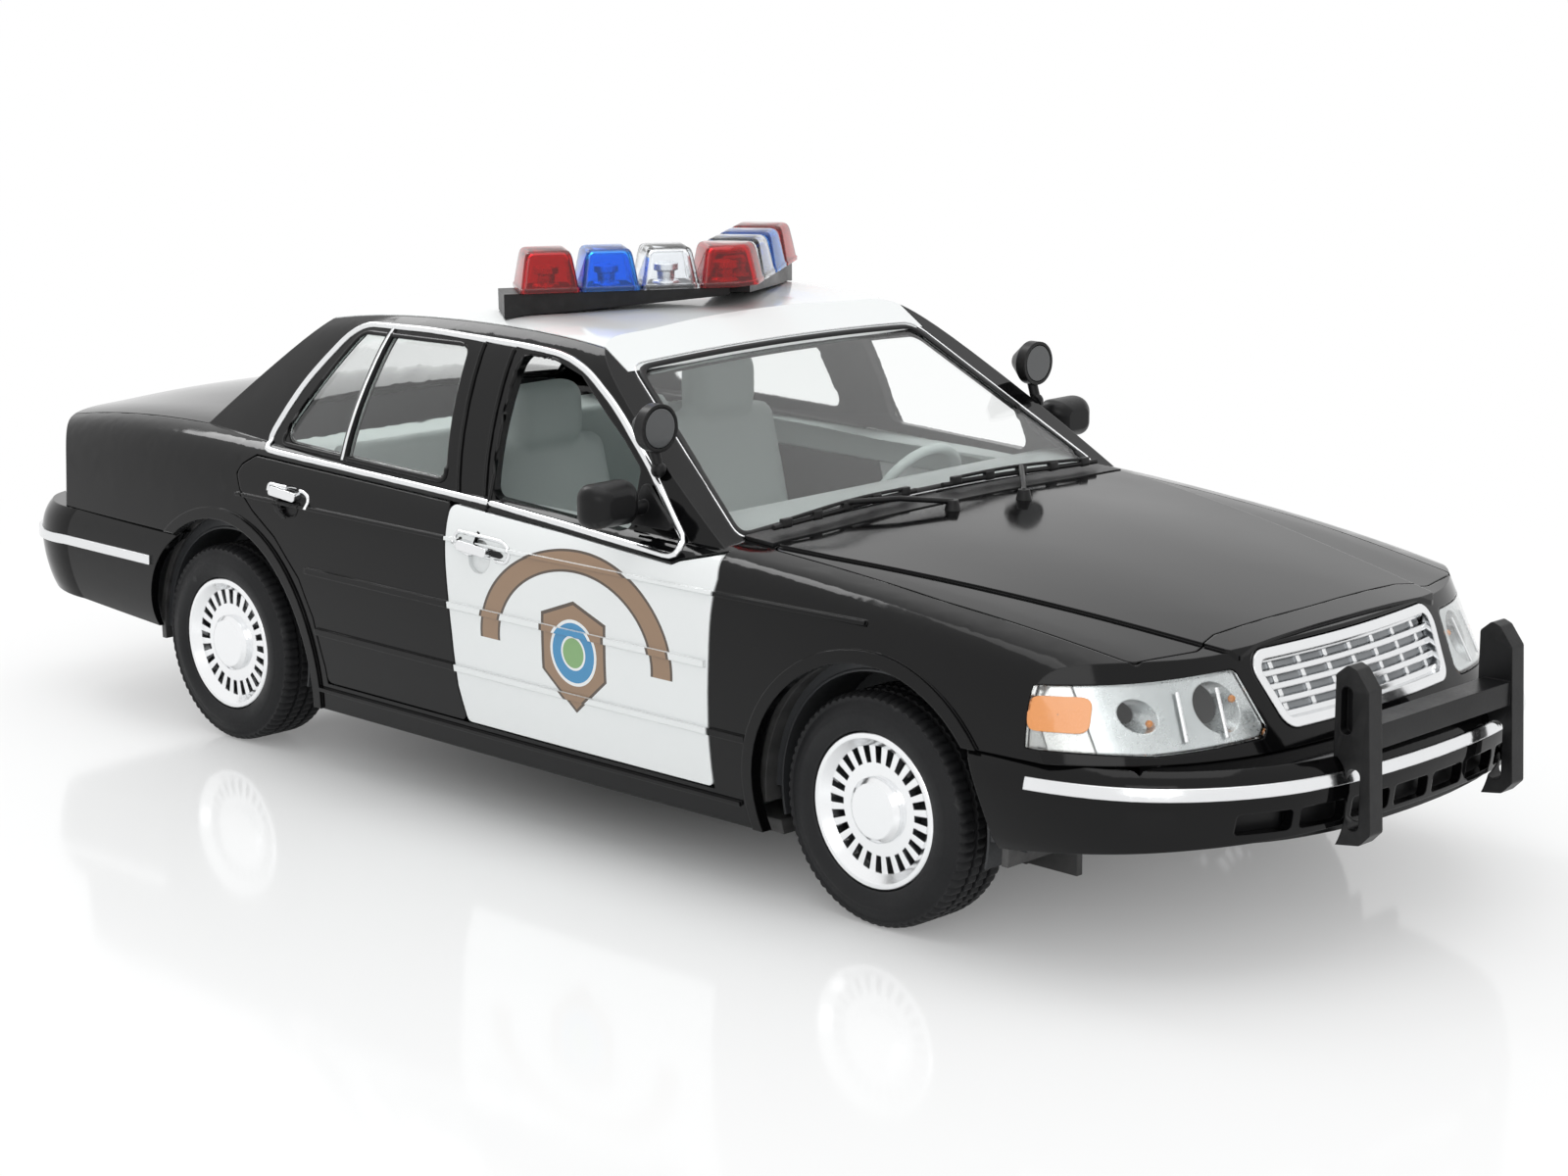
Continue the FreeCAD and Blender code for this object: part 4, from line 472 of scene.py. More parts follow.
def roundedPath(corners, radius, closed=True, steps=5, spacing=2.0, most=0.45):
    # The corners joined by straight runs with rounded bends, in even steps
    count = len(corners)
    path = []
    for i, corner in enumerate(corners):
        if not closed and i in (0, count - 1):
            path.append(corner.copy())
            continue
        before, after = corners[i - 1] - corner, corners[(i + 1) % count] - corner
        reach = min(radius, before.length * most, after.length * most)
        first, last = corner + before.normalized() * reach, corner + after.normalized() * reach
        for k in range(steps + 1):
            t = k / steps
            path.append(first * (1 - t) ** 2 + corner * 2 * t * (1 - t) + last * t ** 2)
    fine = []
    for i, point in enumerate(path):
        fine.append(point)
        if not closed and i == len(path) - 1:
            break
        following = path[(i + 1) % len(path)]
        parts = int((following - point).length / spacing)
        fine += [point.lerp(following, (k + 1) / (parts + 1)) for k in range(parts)]
    return fine


def joinRings(bm, rings, closed=False):
    # Rings of places joined one after another, corner to corner, with caps where the row is open
    loops = [[bm.verts.new(place) for place in places] for places in rings]
    following = loops[1:] + loops[:1] if closed else loops[1:]
    for first, second in zip(loops, following):
        for k in range(len(first)):
            j = (k + 1) % len(first)
            bm.faces.new((first[k], first[j], second[j], second[k]))
    if not closed:
        bm.faces.new(loops[0][::-1])
        bm.faces.new(loops[-1])


def spinLine(bm, points, centre, axis, degrees, steps, loop=False):
    # A line of points turned about an axis, merged where the turn is full
    line = [bm.verts.new(point) for point in points]
    following = line[1:] + line[:1] if loop else line[1:]
    edges = [bm.edges.new(pair) for pair in zip(line, following)]
    bmesh.ops.spin(bm, geom=line + edges, cent=centre, axis=axis, angle=math.radians(degrees), steps=steps,
                   use_merge=degrees == 360)


def addBand(bm, places, normals, width, height, closed=False, sides=6):
    # A half-round bead that follows a line on a surface
    count = len(places)
    turns = [math.pi * k / sides for k in range(sides + 1)]
    rings = []
    for i, place in enumerate(places):
        before = places[i - 1] if closed or i else place
        after = places[(i + 1) % count] if closed or i < count - 1 else place
        across = (after - before).normalized().cross(normals[i]).normalized() * width / 2
        upward = normals[i] * height
        rings.append([place + across * math.cos(turn) + upward * math.sin(turn) for turn in turns])
    joinRings(bm, rings, closed)


def addRod(bm, path, radius, sides=10):
    # A round rod along a path of points
    turns = [2 * math.pi * k / sides for k in range(sides)]
    across = None
    rings = []
    for i, place in enumerate(path):
        along = (path[min(i + 1, len(path) - 1)] - path[max(i - 1, 0)]).normalized()
        across = along.orthogonal() if across is None else across - along * across.dot(along)
        across.normalize()
        other = along.cross(across)
        rings.append([place + (across * math.cos(turn) + other * math.sin(turn)) * radius for turn in turns])
    joinRings(bm, rings)


def addBox(bm, centre, size, bevel):
    made = bmesh.ops.create_cube(bm, size=1.0)
    place = Matrix.Translation(centre) @ Matrix.Diagonal((*size, 1))
    bmesh.ops.transform(bm, matrix=place, verts=made["verts"])
    edges = {edge for vertex in made["verts"] for edge in vertex.link_edges}
    bmesh.ops.bevel(bm, geom=list(edges), offset=bevel, segments=3, profile=0.5, material=-1, affect="EDGES")


def addPatch(bm, places, normals, columns, thickness):
    # A thin closed sheet: two grids laid on rows of draped points, bridged along their rims
    rows = len(places) // columns
    for lift in (thickness, -thickness):
        made = bmesh.ops.create_grid(bm, x_segments=columns - 1, y_segments=rows - 1, size=mm)
        for vertex, place, normal in zip(made["verts"], places, normals):
            vertex.co = place + normal * lift
    bmesh.ops.bridge_loops(bm, edges=[edge for edge in bm.edges if edge.is_boundary])


sideSurface = surfaceOf("body_shell", "front_door_right", "front_door_left", "rear_door_right",
                        "rear_door_left")
topSurface = surfaceOf("body_shell", "hood", "trunk_lid", "roof_panel", "windshield", "rear_window",
                       "cowl_panel")
paneSurface = surfaceOf("windshield", "body_shell", "roof_panel", "rear_window")
sideGlassSurface = surfaceOf("side_glass", "body_shell")
lampSurface = surfaceOf("turn_lamps", "headlamp_lenses")


def sideLine(corners, side, radius, closed=False):
    path = roundedPath([Vector((x, 0, z)) for x, z in corners], radius, closed, spacing=1.5)
    return layFromSide(sideSurface, [(point.x, point.z) for point in path], side)


print("helpers ready")

# Bright bead round both side windows, the black gasket inside it, the strips of the pillars and the divider
beadLook = {
    "loop": [(-50.7, 40.3), (-45.5, 49.2), (-39.3, 56.7), (-25.0, 57.2), (-6.3, 57.0), (0.7, 56.6),
             (5.9, 55.2), (12.7, 51.7), (21.3, 45.7), (30.3, 37.2), (10.3, 38.4), (-4.3, 39.1),
             (-13.3, 39.3), (-44.6, 40.1)],
    "bend": 3.0, "width": 0.95 * mm, "height": 0.42 * mm,
    "divider": [(-32.0, 57.0), (-33.8, 40.6)], "dividerSteps": 12, "dividerWidth": 0.55 * mm,
    "dividerHeight": 0.36 * mm, "dividerBack": 1.43 * mm,
    "gasket": [(-47.6, 41.1), (-37.8, 55.9), (-16.3, 56.3), (-13.2, 40.4)],
    "frontGasket": [(-3.6, 40.2), (-6.0, 55.6), (-0.6, 55.6), (4.8, 54.0), (14.6, 48.0), (19.4, 44.6),
                    (20.6, 39.3)],
    "gasketBend": 1.6, "gasketWidth": 0.7 * mm, "gasketHeight": 0.22 * mm,
    "pillars": [((-13.6, 56.6), (-10.6, 39.6)), ((-8.0, 56.4), (-5.6, 39.6))],
    "pillarBend": 1.0, "pillarWidth": 0.55 * mm, "pillarHeight": 0.35 * mm,
}


def makeBeads():
    look = beadLook
    bright, black = bmesh.new(), bmesh.new()
    for side in (-1, 1):
        places, normals = sideLine(look["loop"], side, look["bend"], closed=True)
        addBand(bright, places, normals, look["width"], look["height"], closed=True)
        divider = evenRun(*look["divider"], look["dividerSteps"])
        places, normals = layFromSide(sideGlassSurface, divider, side)
        addBand(black, places, normals, look["dividerBack"], look["gasketHeight"])
        addBand(bright, places, normals, look["dividerWidth"], look["dividerHeight"])
        for name, closed in (("gasket", True), ("frontGasket", False)):
            places, normals = sideLine(look[name], side, look["gasketBend"], closed=closed)
            addBand(black, places, normals, look["gasketWidth"], look["gasketHeight"], closed=closed)
        for line in look["pillars"]:
            places, normals = sideLine(line, side, look["pillarBend"])
            addBand(black, places, normals, look["pillarWidth"], look["pillarHeight"])
    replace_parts(newPiece("windowBeads", bright, "bright_trim", "root"), "window_trim")
    newPiece("windowGaskets", black, "black_paint", "root")


makeBeads()

# Gasket and thin bright line round the windshield and the rear window
paneLook = {"windshield": [(33.6, 31.2), (9.4, 24.2), (9.4, -24.2), (33.6, -31.2)],
            "rearWindow": [(-66.8, 29.6), (-50.2, 22.8), (-50.2, -22.8), (-66.8, -29.6)],
            "bend": 2.0, "spacing": 1.5, "width": 0.9 * mm, "height": 0.25 * mm,
            "lineOut": 0.65, "lineWidth": 0.18 * mm, "lineHeight": 0.22 * mm}


def makePaneSeals():
    look = paneLook
    black, bright = bmesh.new(), bmesh.new()
    for name in ("windshield", "rearWindow"):
        centre = sum(x for x, y in look[name]) / len(look[name])
        for bm, grow, width, height in ((black, 0.0, look["width"], look["height"]),
                                        (bright, look["lineOut"], look["lineWidth"], look["lineHeight"])):
            corners = [Vector((x + math.copysign(grow, x - centre), y + math.copysign(grow, y), 0))
                       for x, y in look[name]]
            path = roundedPath(corners, look["bend"], spacing=look["spacing"])
            places, normals = layFromTop(paneSurface, [(point.x, point.y) for point in path])
            addBand(bm, places, normals, width, height, closed=True)
    newPiece("paneGaskets", black, "black_plastic", "root")
    newPiece("paneLines", bright, "bright_trim", "root")


makePaneSeals()
print("window trims made")

# Tyres: rounded shoulders, ribbed sidewall, grooved tread with sipes, on the wheels' own axes
tyreLook = {"bead": 8.95, "tread": 13.2, "width": 8.8, "segments": 216, "sipes": 72, "sipeDepth": 0.22,
            "wallSteps": 14, "wallDrop": 0.75, "swell": 0.075, "swellFrom": 0.12, "swellOver": 0.86,
            "ribs": (9, 11, 13), "ribDepth": 0.09, "shoulder": ((0.42, 0.055), (0.14, 0.10), (0.02, 0.16)),
            "grooves": (0.30, 0.5), "grooveHalf": 0.035, "grooveFloor": 0.7, "grooveDepth": 0.45}
wheelPlaces = {"front": (58.95, 36.8), "rear": (-57.55, 38.3)}
axleHigh = 13.2


def tyreSection():
    # Radius and share of the width, from the outer bead over wall, shoulder and tread to the inner bead
    look = tyreLook
    bead, tread, low = look["bead"], look["tread"], look["tread"] - look["grooveDepth"]
    half = []
    for k in range(look["wallSteps"] + 1):
        t = k / look["wallSteps"]
        swell = math.sin(math.pi * min(1.0, look["swellFrom"] + t * look["swellOver"]))
        rib = look["ribDepth"] / look["width"] if k in look["ribs"] else 0.0
        half.append((bead + (tread - look["wallDrop"] - bead) * t, look["swell"] * (1 - swell) + rib))
    half += [(tread - drop, share) for drop, share in look["shoulder"]]
    wide, narrow = look["grooveHalf"], look["grooveHalf"] * look["grooveFloor"]
    outer, middle = look["grooves"]
    half += [(tread, outer - wide), (low, outer - narrow), (low, outer + narrow), (tread, outer + wide),
             (tread, middle - wide), (low, middle - narrow)]
    return half + [(radius, 1 - share) for radius, share in reversed(half)]


def cutSipes(bm, axle):
    # At even steps round the tyre, the shoulder and tread go down to the sipes' depth
    every = tyreLook["segments"] // tyreLook["sipes"]
    floor = (tyreLook["tread"] - tyreLook["grooveDepth"]) * mm
    for vertex in bm.verts:
        out = Vector((vertex.co.x - axle.x, 0, vertex.co.z - axle.z))
        row = round(math.atan2(out.z, out.x) / (2 * math.pi) * tyreLook["segments"])
        if row % every == 0 and out.length > floor * 1.001:
            vertex.co -= out.normalized() * tyreLook["sipeDepth"] * mm


def makeTyre(end, sideName, side):
    centreX, plane = wheelPlaces[end]
    line = [Vector((centreX + radius, side * (plane - share * tyreLook["width"]), axleHigh)) * mm
            for radius, share in tyreSection()]
    axle = Vector((centreX, 0, axleHigh)) * mm
    bm = bmesh.new()
    spinLine(bm, line, axle, (0, 1, 0), 360, tyreLook["segments"], loop=True)
    cutSipes(bm, axle)
    name = f"tyre_{end}_{sideName}"
    tyre = newPiece(f"tyreTread_{end}_{sideName}", bm, "tyre_rubber", bodyOfNode[name], 50.0)
    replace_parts(tyre, name)


for end in ("front", "rear"):
    for sideName, side in (("right", -1), ("left", 1)):
        makeTyre(end, sideName, side)
print("tyres made")

# Light bar pods: drafted domes with a wall, a dark tray below and a lamp inside
podLook = {"apex": -0.47, "angle": 33.8, "pitch": 7.55, "half": (4.4, 3.7), "gap": 0.1, "nose": (4.18, 1.8),
           "low": 62.52, "high": 5.05, "wall": 0.45, "round": 0.6, "cornerDraw": 1.3,
           "levels": ((0.0, 0.0), (0.09, 0.0), (0.12, 0.16), (0.50, 0.52), (0.82, 0.86), (0.91, 1.02),
                      (0.97, 1.26), (1.0, 1.62)),
           "colours": ("clear", "blue", "red"), "tray": 0.35, "trayLift": 0.05, "trayGap": 0.25,
           "lampRadius": 1.2, "lampHigh": 2.7, "lampSides": 16,
           "lampSteps": ((0.0, 1.5), (0.12, 1.35), (0.16, 0.9), (0.55, 0.95), (0.6, 1.3), (0.9, 1.3),
                         (1.0, 0.7))}


def podOutline(corners, shrink, height):
    centre = sum(corners, Vector()) / len(corners)
    drawn = [corner + (centre - corner).normalized() * shrink * podLook["cornerDraw"] for corner in corners]
    path = roundedPath(drawn, podLook["round"], steps=6, spacing=50)
    return [Vector((point.x, point.y, height)) * mm for point in path]


def addPodShell(bm, corners):
    # From the top of the inner skin down to the rim, and up the outer skin
    rings = []
    for inner in (podLook["wall"], 0.0):
        skin = [podOutline(corners, draw + inner, podLook["low"] + (podLook["high"] - inner) * share)
                for share, draw in podLook["levels"]]
        rings += skin if rings else skin[::-1]
    joinRings(bm, rings)


def addPodInside(bm, trays, corners, centre):
    low, shrink = podLook["low"] + podLook["trayLift"], podLook["wall"] + podLook["trayGap"]
    joinRings(trays, [podOutline(corners, shrink, height) for height in (low, low + podLook["tray"])])
    base = centre + Vector((0, 0, podLook["low"] + podLook["tray"]))
    line = [(base + Vector((scale * podLook["lampRadius"], 0, share * podLook["lampHigh"]))) * mm
            for share, scale in podLook["lampSteps"]]
    spinLine(bm, line, base * mm, (0, 0, 1), 360, podLook["lampSides"])


def armAxes(side):
    # Outwards along a swept arm of the light bar, and across it towards the front
    turn = math.radians(podLook["angle"])
    lean, spread = math.sin(turn), math.cos(turn)
    return Vector((-lean, side * spread, 0)), Vector((spread, side * lean, 0))


def makePods():
    shells = {name: bmesh.new() for name in podLook["colours"]}
    inside, trays = bmesh.new(), bmesh.new()
    halfX, halfY = podLook["half"]
    apex = Vector((podLook["apex"], 0, 0))
    for side in (-1, 1):
        along, across = armAxes(side)
        for i, colour in enumerate(podLook["colours"]):
            centre = apex + along * podLook["pitch"] * (i + 1)
            corners = [centre + across * a * halfX + along * b * halfY
                       for a, b in ((-1, -1), (1, -1), (1, 1), (-1, 1))]
            addPodShell(shells[colour], corners)
            addPodInside(inside, trays, corners, centre)
    corners = []
    for side in (-1, 1):
        along, across = armAxes(side)
        reach = podLook["pitch"] - halfY - podLook["gap"]
        half = [apex + along * reach + across * halfX * a for a in (-1, 1)]
        half.append(apex + Vector((podLook["nose"][0], side * podLook["nose"][1], 0)))
        corners += half if side < 0 else half[::-1]
    addPodShell(shells["red"], corners)
    addPodInside(inside, trays, corners, apex)
    bmesh.ops.holes_fill(inside, edges=inside.edges, sides=podLook["lampSides"])
    for colour, bm in shells.items():
        name = "lightbar_pods_" + colour
        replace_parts(newPiece(colour + "Domes", bm, slotOfNode[name], "root", 35.0), name)
    newPiece("podReflectors", inside, "bright_trim", "root", 30.0, "podSilver")
    newPiece("podTrays", trays, "black_plastic", "root", 30.0)


makePods()
print("light bar made")

# Front lamps: amber inset, division bars and small marker bulbs behind the clear lens
lampLook = {"amber": ((81.9, 26.9), (87.4, 26.7), (86.9, 30.3), (81.7, 30.4)), "amberRound": 1.1, "rows": 14,
            "amberHalf": 0.14 * mm, "bars": (((26.8, 25.6), (26.0, 30.4)), ((22.5, 25.6), (21.7, 30.4))),
            "barSteps": 12, "barWidth": 0.5 * mm, "barHeight": 0.16 * mm,
            "bulbs": ((90.9, 29.0, 27.4), (94.3, 19.8, 28.9)), "bulbRadius": 0.42 * mm}


def outlineRows(corners, radius, rows, least=0.02, spacing=0.35):
    # Rows of points that grow from the middle of a rounded outline to its edge
    outline = roundedPath([Vector((a, b)).to_3d() for a, b in corners], radius, spacing=spacing)
    outline.append(outline[0])
    middle = sum((Vector((a, b)).to_3d() for a, b in corners), Vector()) / len(corners)
    points = [middle.lerp(point, max(least, r / (rows - 1))) for r in range(rows) for point in outline]
    return [(point.x, point.y) for point in points], len(outline)


def makeLampInsides():
    look = lampLook
    amber, bars, bulbs = bmesh.new(), bmesh.new(), bmesh.new()
    points, count = outlineRows(look["amber"], look["amberRound"], look["rows"])
    for side in (-1, 1):
        places, normals = layFromSide(lampSurface, points, side)
        addPatch(amber, places, normals, count, look["amberHalf"])
        for foot, head in look["bars"]:
            run = evenRun(foot, head, look["barSteps"])
            places, normals = layFromFront(lampSurface, [(side * y, z) for y, z in run])
            addBand(bars, places, normals, look["barWidth"], look["barHeight"])
        for x, y, z in look["bulbs"]:
            made = bmesh.ops.create_icosphere(bulbs, subdivisions=2, radius=look["bulbRadius"])
            bmesh.ops.translate(bulbs, verts=made["verts"], vec=Vector((x, side * y, z)) * mm)
    newPiece("amberInsets", amber, "amber_lens", "root")
    newPiece("lampBars", bars, "bright_trim", "root", finish="podSilver")
    newPiece("markerBulbs", bulbs, "amber_lens", "root")


makeLampInsides()

# Backing behind the grille's bars, and behind the slot of the front bumper
backLook = {"thickness": 0.12,
            "grille": {"columns": 40, "rows": 14, "half": 15.0, "low": 25.9, "high": 32.8, "inset": 1.5,
                       "near": 96, "rise": 0.0, "foot": 0.0},
            "slot": {"columns": 30, "rows": 6, "half": 29.8, "low": 15.0, "high": 20.8, "inset": 1.8,
                     "near": 98, "rise": 0.6, "foot": 17.2}}


def makeBacking(name, node, look, slot, finish):
    # Rays from the front find the node's hull, and rows lower than its foot stand straight below it
    tree = hullOf(node)
    forwards = Vector((1, 0, 0))
    places = []
    for r in range(look["rows"]):
        for k in range(look["columns"]):
            share = 2 * k / (look["columns"] - 1) - 1
            y, low = look["half"] * share, look["low"] + look["rise"] * share ** 2
            z = low + (look["high"] - low) * r / (look["rows"] - 1)
            probe = Vector((outside["front"], y, max(z, look["foot"]))) * mm
            place = tree.ray_cast(probe, -forwards)[0]
            if place is None:
                place = tree.find_nearest(Vector((look["near"], y, z)) * mm)[0]
            places.append(Vector((place.x - look["inset"] * mm, y * mm, z * mm)))
    bm = bmesh.new()
    addPatch(bm, places, [forwards] * len(places), look["columns"], backLook["thickness"] * mm)
    newPiece(name, bm, slot, "root", finish=finish)


# The grille backing is darkened as painted shade between the bars, with painted highlights on its edges
makeBacking("grilleBacking", "grille", backLook["grille"], "bright_trim", "grilleGrey")
makeBacking("slotBacking", "front_bumper", backLook["slot"], "black_plastic", None)
print("lamps and grille made")

# Seats, rear bench and dashboard: the nodes' forms with softened edges, as voxel size and rounds of smoothing
softLook = {"merge": 0.004 * mm, "factor": 0.5,
            "forms": {"front_seat_right": (0.55, 9), "front_seat_left": (0.55, 9), "rear_seat": (0.6, 8),
                      "dashboard": (0.5, 5)}}


def softCopy(nodeName, voxel, rounds):
    bm = bmesh.new()
    bm.from_mesh(nodes[nodeName].data)
    bmesh.ops.remove_doubles(bm, verts=bm.verts, dist=softLook["merge"])
    name = nodeName.title().replace("_", "") + "Form"
    piece = newPiece(name, bm, slotOfNode[nodeName], bodyOfNode[nodeName], 180.0, finishOfNode.get(nodeName))
    remesh = piece.modifiers.new("evenGrid", "REMESH")
    remesh.mode = "VOXEL"
    remesh.voxel_size = voxel * mm
    remesh.use_smooth_shade = True
    soft = piece.modifiers.new("softEdges", "SMOOTH")
    soft.factor = softLook["factor"]
    soft.iterations = rounds
    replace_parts(piece, nodeName)


for nodeName, (voxel, rounds) in softLook["forms"].items():
    softCopy(nodeName, voxel, rounds)
print("cabin made")

# Wipers along the foot of the windshield: blade, spine, clips, arm and pivot
wiperLook = {"blades": [((36.4, -28.6), (34.8, -3.0)), ((34.6, 2.0), (36.6, 28.6))], "steps": 24,
             "pivots": [(41.6, -4.0), (43.2, 7.0)], "lift": 0.85, "bladeRadius": 0.32,
             "spineRadius": 0.22, "spineLift": 0.45, "spineBow": 0.35, "ends": 2,
             "clips": 5, "clipSize": (0.75, 1.5, 1.1), "clipLift": 0.2, "clipBevel": 0.12,
             "armRadius": 0.34, "armFoot": (0.5, 1.0), "armBow": 0.9, "armHead": 0.7,
             "pivotRadii": (1.0, 0.7), "pivotHigh": 1.3, "pivotLift": 0.55}


def makeWipers():
    look = wiperLook
    steps, ends = look["steps"], look["ends"]
    up = Vector((0, 0, mm))
    bm = bmesh.new()
    for blade, pivot in zip(look["blades"], look["pivots"]):
        places, _ = layFromTop(topSurface, evenRun(*blade, steps))
        rubber = [place + up * look["lift"] for place in places]
        addRod(bm, rubber, look["bladeRadius"] * mm)
        spine = [place + up * (look["spineLift"] + look["spineBow"] * math.sin(math.pi * i / steps))
                 for i, place in enumerate(rubber)]
        addRod(bm, spine[ends:-ends], look["spineRadius"] * mm)
        for k in range(look["clips"]):
            at = rubber[ends + round((steps - 2 * ends) * k / (look["clips"] - 1))]
            size = [length * mm for length in look["clipSize"]]
            addBox(bm, at + up * look["clipLift"], size, look["clipBevel"] * mm)
        foot = layFromTop(topSurface, [pivot])[0][0]
        head = rubber[steps // 2] + up * look["armHead"]
        arm = [foot + up * rise for rise in look["armFoot"]]
        arm += [foot.lerp(head, 0.5) + up * look["armBow"], head]
        addRod(bm, arm, look["armRadius"] * mm)
        low, top = look["pivotRadii"]
        made = bmesh.ops.create_cone(bm, cap_ends=True, segments=24, radius1=low * mm, radius2=top * mm,
                                     depth=look["pivotHigh"] * mm)
        bmesh.ops.translate(bm, verts=made["verts"], vec=foot + up * look["pivotLift"])
    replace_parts(newPiece("wiperArms", bm, "black_plastic", "root"), "wipers")


makeWipers()

# Door handles: bright frames, black patches painted as the shade in the cups under them, and the locks
handleLook = {"front": [(-7.7, 35.5), (0.9, 35.3), (2.5, 34.3), (2.0, 32.9), (-5.6, 33.1), (-7.9, 34.0)],
              "frontSlot": [(-5.6, 34.5), (0.2, 34.3), (1.4, 33.7), (0.9, 33.3), (-4.8, 33.5)],
              "rear": [(-45.6, 35.6), (-45.6, 36.5), (-38.2, 36.3), (-37.0, 35.7), (-37.2, 34.3)],
              "rearCup": [(-44.6, 35.2), (-38.6, 35.0), (-39.4, 33.0), (-42.0, 32.4), (-43.8, 33.2)],
              "lock": [(-7.1, 34.9), (-6.6, 34.9), (-6.6, 34.4), (-7.1, 34.4)], "bend": 0.9,
              "width": 0.5 * mm, "height": 0.3 * mm, "cupBend": 0.5, "cupRows": 6, "cupHalf": 0.04 * mm}


def makeHandles():
    look = handleLook
    bright, dark = bmesh.new(), bmesh.new()
    for side in (-1, 1):
        for name, closed in (("front", True), ("rear", False)):
            places, normals = sideLine(look[name], side, look["bend"], closed=closed)
            addBand(bright, places, normals, look["width"], look["height"], closed=closed)
        # The slot and cup patches are painted shade in the recesses; the lock patch is the lock itself
        for name in ("frontSlot", "rearCup", "lock"):
            points, count = outlineRows(look[name], look["cupBend"], look["cupRows"])
            places, normals = layFromSide(sideSurface, points, side, lift=look["cupHalf"])
            addPatch(dark, places, normals, count, look["cupHalf"])
    newPiece("handleFrames", bright, "bright_trim", "root")
    newPiece("handleCups", dark, "black_plastic", "root")


makeHandles()

# Wheel houses inside the arches, and the wall between the cabin and the trunk
houseLook = {"radius": 15.2, "wall": 0.3, "proud": 0.1, "turn": (-14, 194), "steps": 40,
             "planes": {"front": (26.9, 34.8), "rear": (28.4, 36.0)}, "flange": 20.6, "flangeTurn": (-2, 182)}
trunkLook = {"wall": -69.0, "half": 31.0, "low": 26.0, "below": 0.5, "thickness": 0.2, "steps": 20}


def roundAxle(axle, radius, y, angle):
    return axle + Vector((radius * math.cos(angle), y, radius * math.sin(angle))) * mm


def spinSection(bm, section, axle, turn):
    # A closed section of radius and y, turned round the axle from the front upwards
    line = [roundAxle(axle, radius, y, math.radians(turn[0])) for radius, y in section]
    spinLine(bm, line, axle, (0, -1, 0), turn[1] - turn[0], houseLook["steps"], loop=True)


def makeHouses():
    radius, wall, steps = houseLook["radius"], houseLook["wall"], houseLook["steps"]
    first, last = houseLook["turn"]
    angles = [math.radians(first + (last - first) * k / steps) for k in range(steps + 1)]
    bm = bmesh.new()
    for end, (inner, outer) in houseLook["planes"].items():
        axle = Vector((wheelPlaces[end][0], 0, axleHigh)) * mm
        for side in (-1, 1):
            shell = ((radius, outer), (radius, inner), (radius + wall, inner - wall), (radius + wall, outer))
            spinSection(bm, [(reach, side * y) for reach, y in shell], axle, houseLook["turn"])
            near, far = outer - wall / 2, outer - wall * 3 / 2
            flange = ((radius + wall, near), (houseLook["flange"], near), (houseLook["flange"], far),
                      (radius + wall, far))
            spinSection(bm, [(reach, side * y) for reach, y in flange], axle, houseLook["flangeTurn"])
            joinRings(bm, [[roundAxle(axle, radius, side * y, angle) for angle in angles]
                           for y in (inner - wall * houseLook["proud"], inner - wall)])
    bmesh.ops.holes_fill(bm, edges=bm.edges, sides=4)
    newPiece("wheelHouses", bm, "black_plastic", "root", finish="cabin_dark")


def makeTrunkWall():
    look = trunkLook
    run = evenRun((look["wall"], -look["half"]), (look["wall"], look["half"]), look["steps"])
    tops, _ = layFromTop(topSurface, run)
    low = [Vector((top.x, top.y, look["low"] * mm)) for top in tops]
    high = [top - Vector((0, 0, look["below"] * mm)) for top in tops]
    bm = bmesh.new()
    addPatch(bm, low + high, [Vector((1, 0, 0))] * (2 * len(tops)), len(tops), look["thickness"] * mm)
    newPiece("trunkWall", bm, "cabin_dark", "root")


makeHouses()
makeTrunkWall()
print("wipers, handles and wheel houses made")

# Floor, lamps, world and camera
stageLook = {"floorSize": 6.0, "clearFrom": 0.0, "clearTo": 0.23, "worldLight": 0.74,
             "lamps": {"topSoftbox": ((0.05, 0.05, 0.9), (0, 0, 0), (0.9, 0.7), 2.6),
                       "rearSoftbox": ((-0.75, 0.05, 0.8), (0, 0, 0.02), (0.3, 0.5), 2.4),
                       "sideSoftbox": ((0.7, -0.8, 0.55), (0, 0, 0.02), (0.5, 0.5), 1.4)}}


def whereSeen(tree):
    # 1 for the camera's rays and for those in reflections and through clear pieces
    path = addNode(tree, "ShaderNodeLightPath")
    other = mathNode(tree, "MAXIMUM", path.outputs["Is Glossy Ray"], path.outputs["Is Transmission Ray"])
    return mathNode(tree, "MAXIMUM", path.outputs["Is Camera Ray"], other)


def makeFloor():
    bm = bmesh.new()
    bmesh.ops.create_grid(bm, x_segments=1, y_segments=1, size=stageLook["floorSize"])
    mesh = bpy.data.meshes.new("floor")
    bm.to_mesh(mesh)
    bm.free()
    floor = bpy.data.objects.new("floor", mesh)
    bpy.context.scene.collection.objects.link(floor)
    material, tree, surface = newMaterial("floorWhite", (0.90, 0.91, 0.91), 0.09, IOR=1.35)
    # Away from the object the floor turns to plain white for the camera and for reflections
    place = addNode(tree, "ShaderNodeTexCoord")
    reach = addNode(tree, "ShaderNodeVectorMath", operation="LENGTH")
    fade = addNode(tree, "ShaderNodeMapRange", interpolation_type="SMOOTHSTEP",
                   From_Min=stageLook["clearFrom"], From_Max=stageLook["clearTo"])
    white = addNode(tree, "ShaderNodeEmission", Strength=1.0)
    tree.links.new(place.outputs["Object"], reach.inputs[0])
    tree.links.new(reach.outputs["Value"], fade.inputs["Value"])
    mask = mathNode(tree, "MULTIPLY", whereSeen(tree), fade.outputs["Result"])
    mixShaders(tree, mask, surface.outputs[0], white.outputs[0], tree.nodes["Material Output"])
    mesh.materials.append(material)


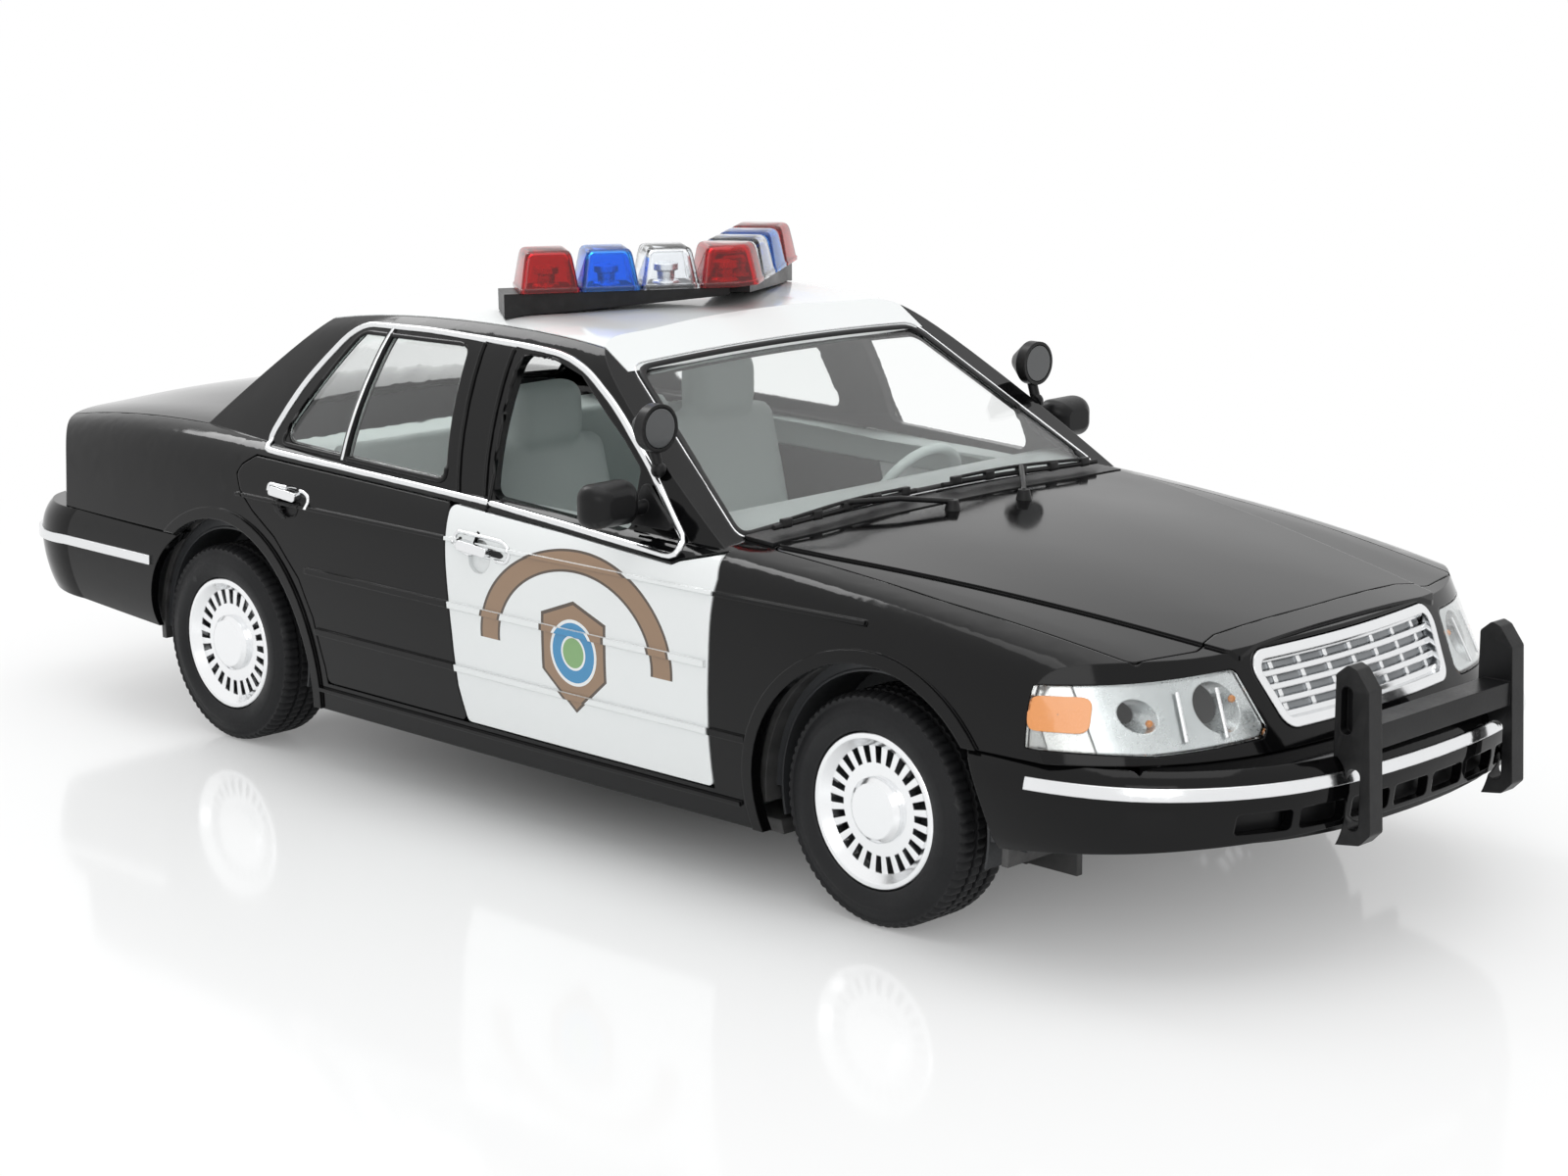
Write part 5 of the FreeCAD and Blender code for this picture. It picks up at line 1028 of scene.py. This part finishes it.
def makeWorld():
    world = bpy.data.worlds.new("studio")
    bpy.context.scene.world = world
    world.use_nodes = True
    tree = world.node_tree
    light = tree.nodes["Background"]
    light.inputs["Color"].default_value = (1, 1, 1, 1)
    light.inputs["Strength"].default_value = stageLook["worldLight"]
    white = addNode(tree, "ShaderNodeBackground", Color=(1, 1, 1, 1), Strength=1.0)
    mixShaders(tree, whereSeen(tree), light.outputs[0], white.outputs[0], tree.nodes["World Output"])


def addLamp(name, place, target, size, watts):
    lamp = bpy.data.lights.new(name, "AREA")
    lamp.shape = "RECTANGLE"
    lamp.size, lamp.size_y = size
    lamp.energy = watts
    thing = bpy.data.objects.new(name, lamp)
    thing.location = place
    thing.rotation_euler = (Vector(target) - Vector(place)).to_track_quat("-Z", "Y").to_euler()
    bpy.context.scene.collection.objects.link(thing)


makeFloor()
makeWorld()
for name, (place, target, size, watts) in stageLook["lamps"].items():
    addLamp(name, place, target, size, watts)

# The camera's place comes from matching the photograph's wheels, pillars and lamps, in metres and degrees
cameraFit = {"azimuth": 44.815, "elevation": 12.556, "roll": -0.480, "place": (0.28821, -0.280444, 0.112720),
             "focalPixels": 3270.7, "frameWidth": 1600, "sensor": 36.0, "clipStart": 0.01}


def makeCamera():
    camera = bpy.data.cameras.new("camera")
    camera.sensor_width = cameraFit["sensor"]
    camera.lens = cameraFit["sensor"] * cameraFit["focalPixels"] / cameraFit["frameWidth"]
    camera.clip_start = cameraFit["clipStart"]
    thing = bpy.data.objects.new("camera", camera)
    azimuth = math.radians(cameraFit["azimuth"])
    elevation = math.radians(cameraFit["elevation"])
    level = math.cos(elevation)
    look = Vector((-math.sin(azimuth) * level, math.cos(azimuth) * level, -math.sin(elevation)))
    roll = Matrix.Rotation(math.radians(cameraFit["roll"]), 3, "Z")
    turn = look.to_track_quat("-Z", "Y").to_matrix() @ roll
    thing.matrix_world = Matrix.Translation(cameraFit["place"]) @ turn.to_4x4()
    bpy.context.scene.collection.objects.link(thing)
    bpy.context.scene.camera = thing


makeCamera()
bpy.context.scene.view_settings.view_transform = "Standard"
print("stage set")
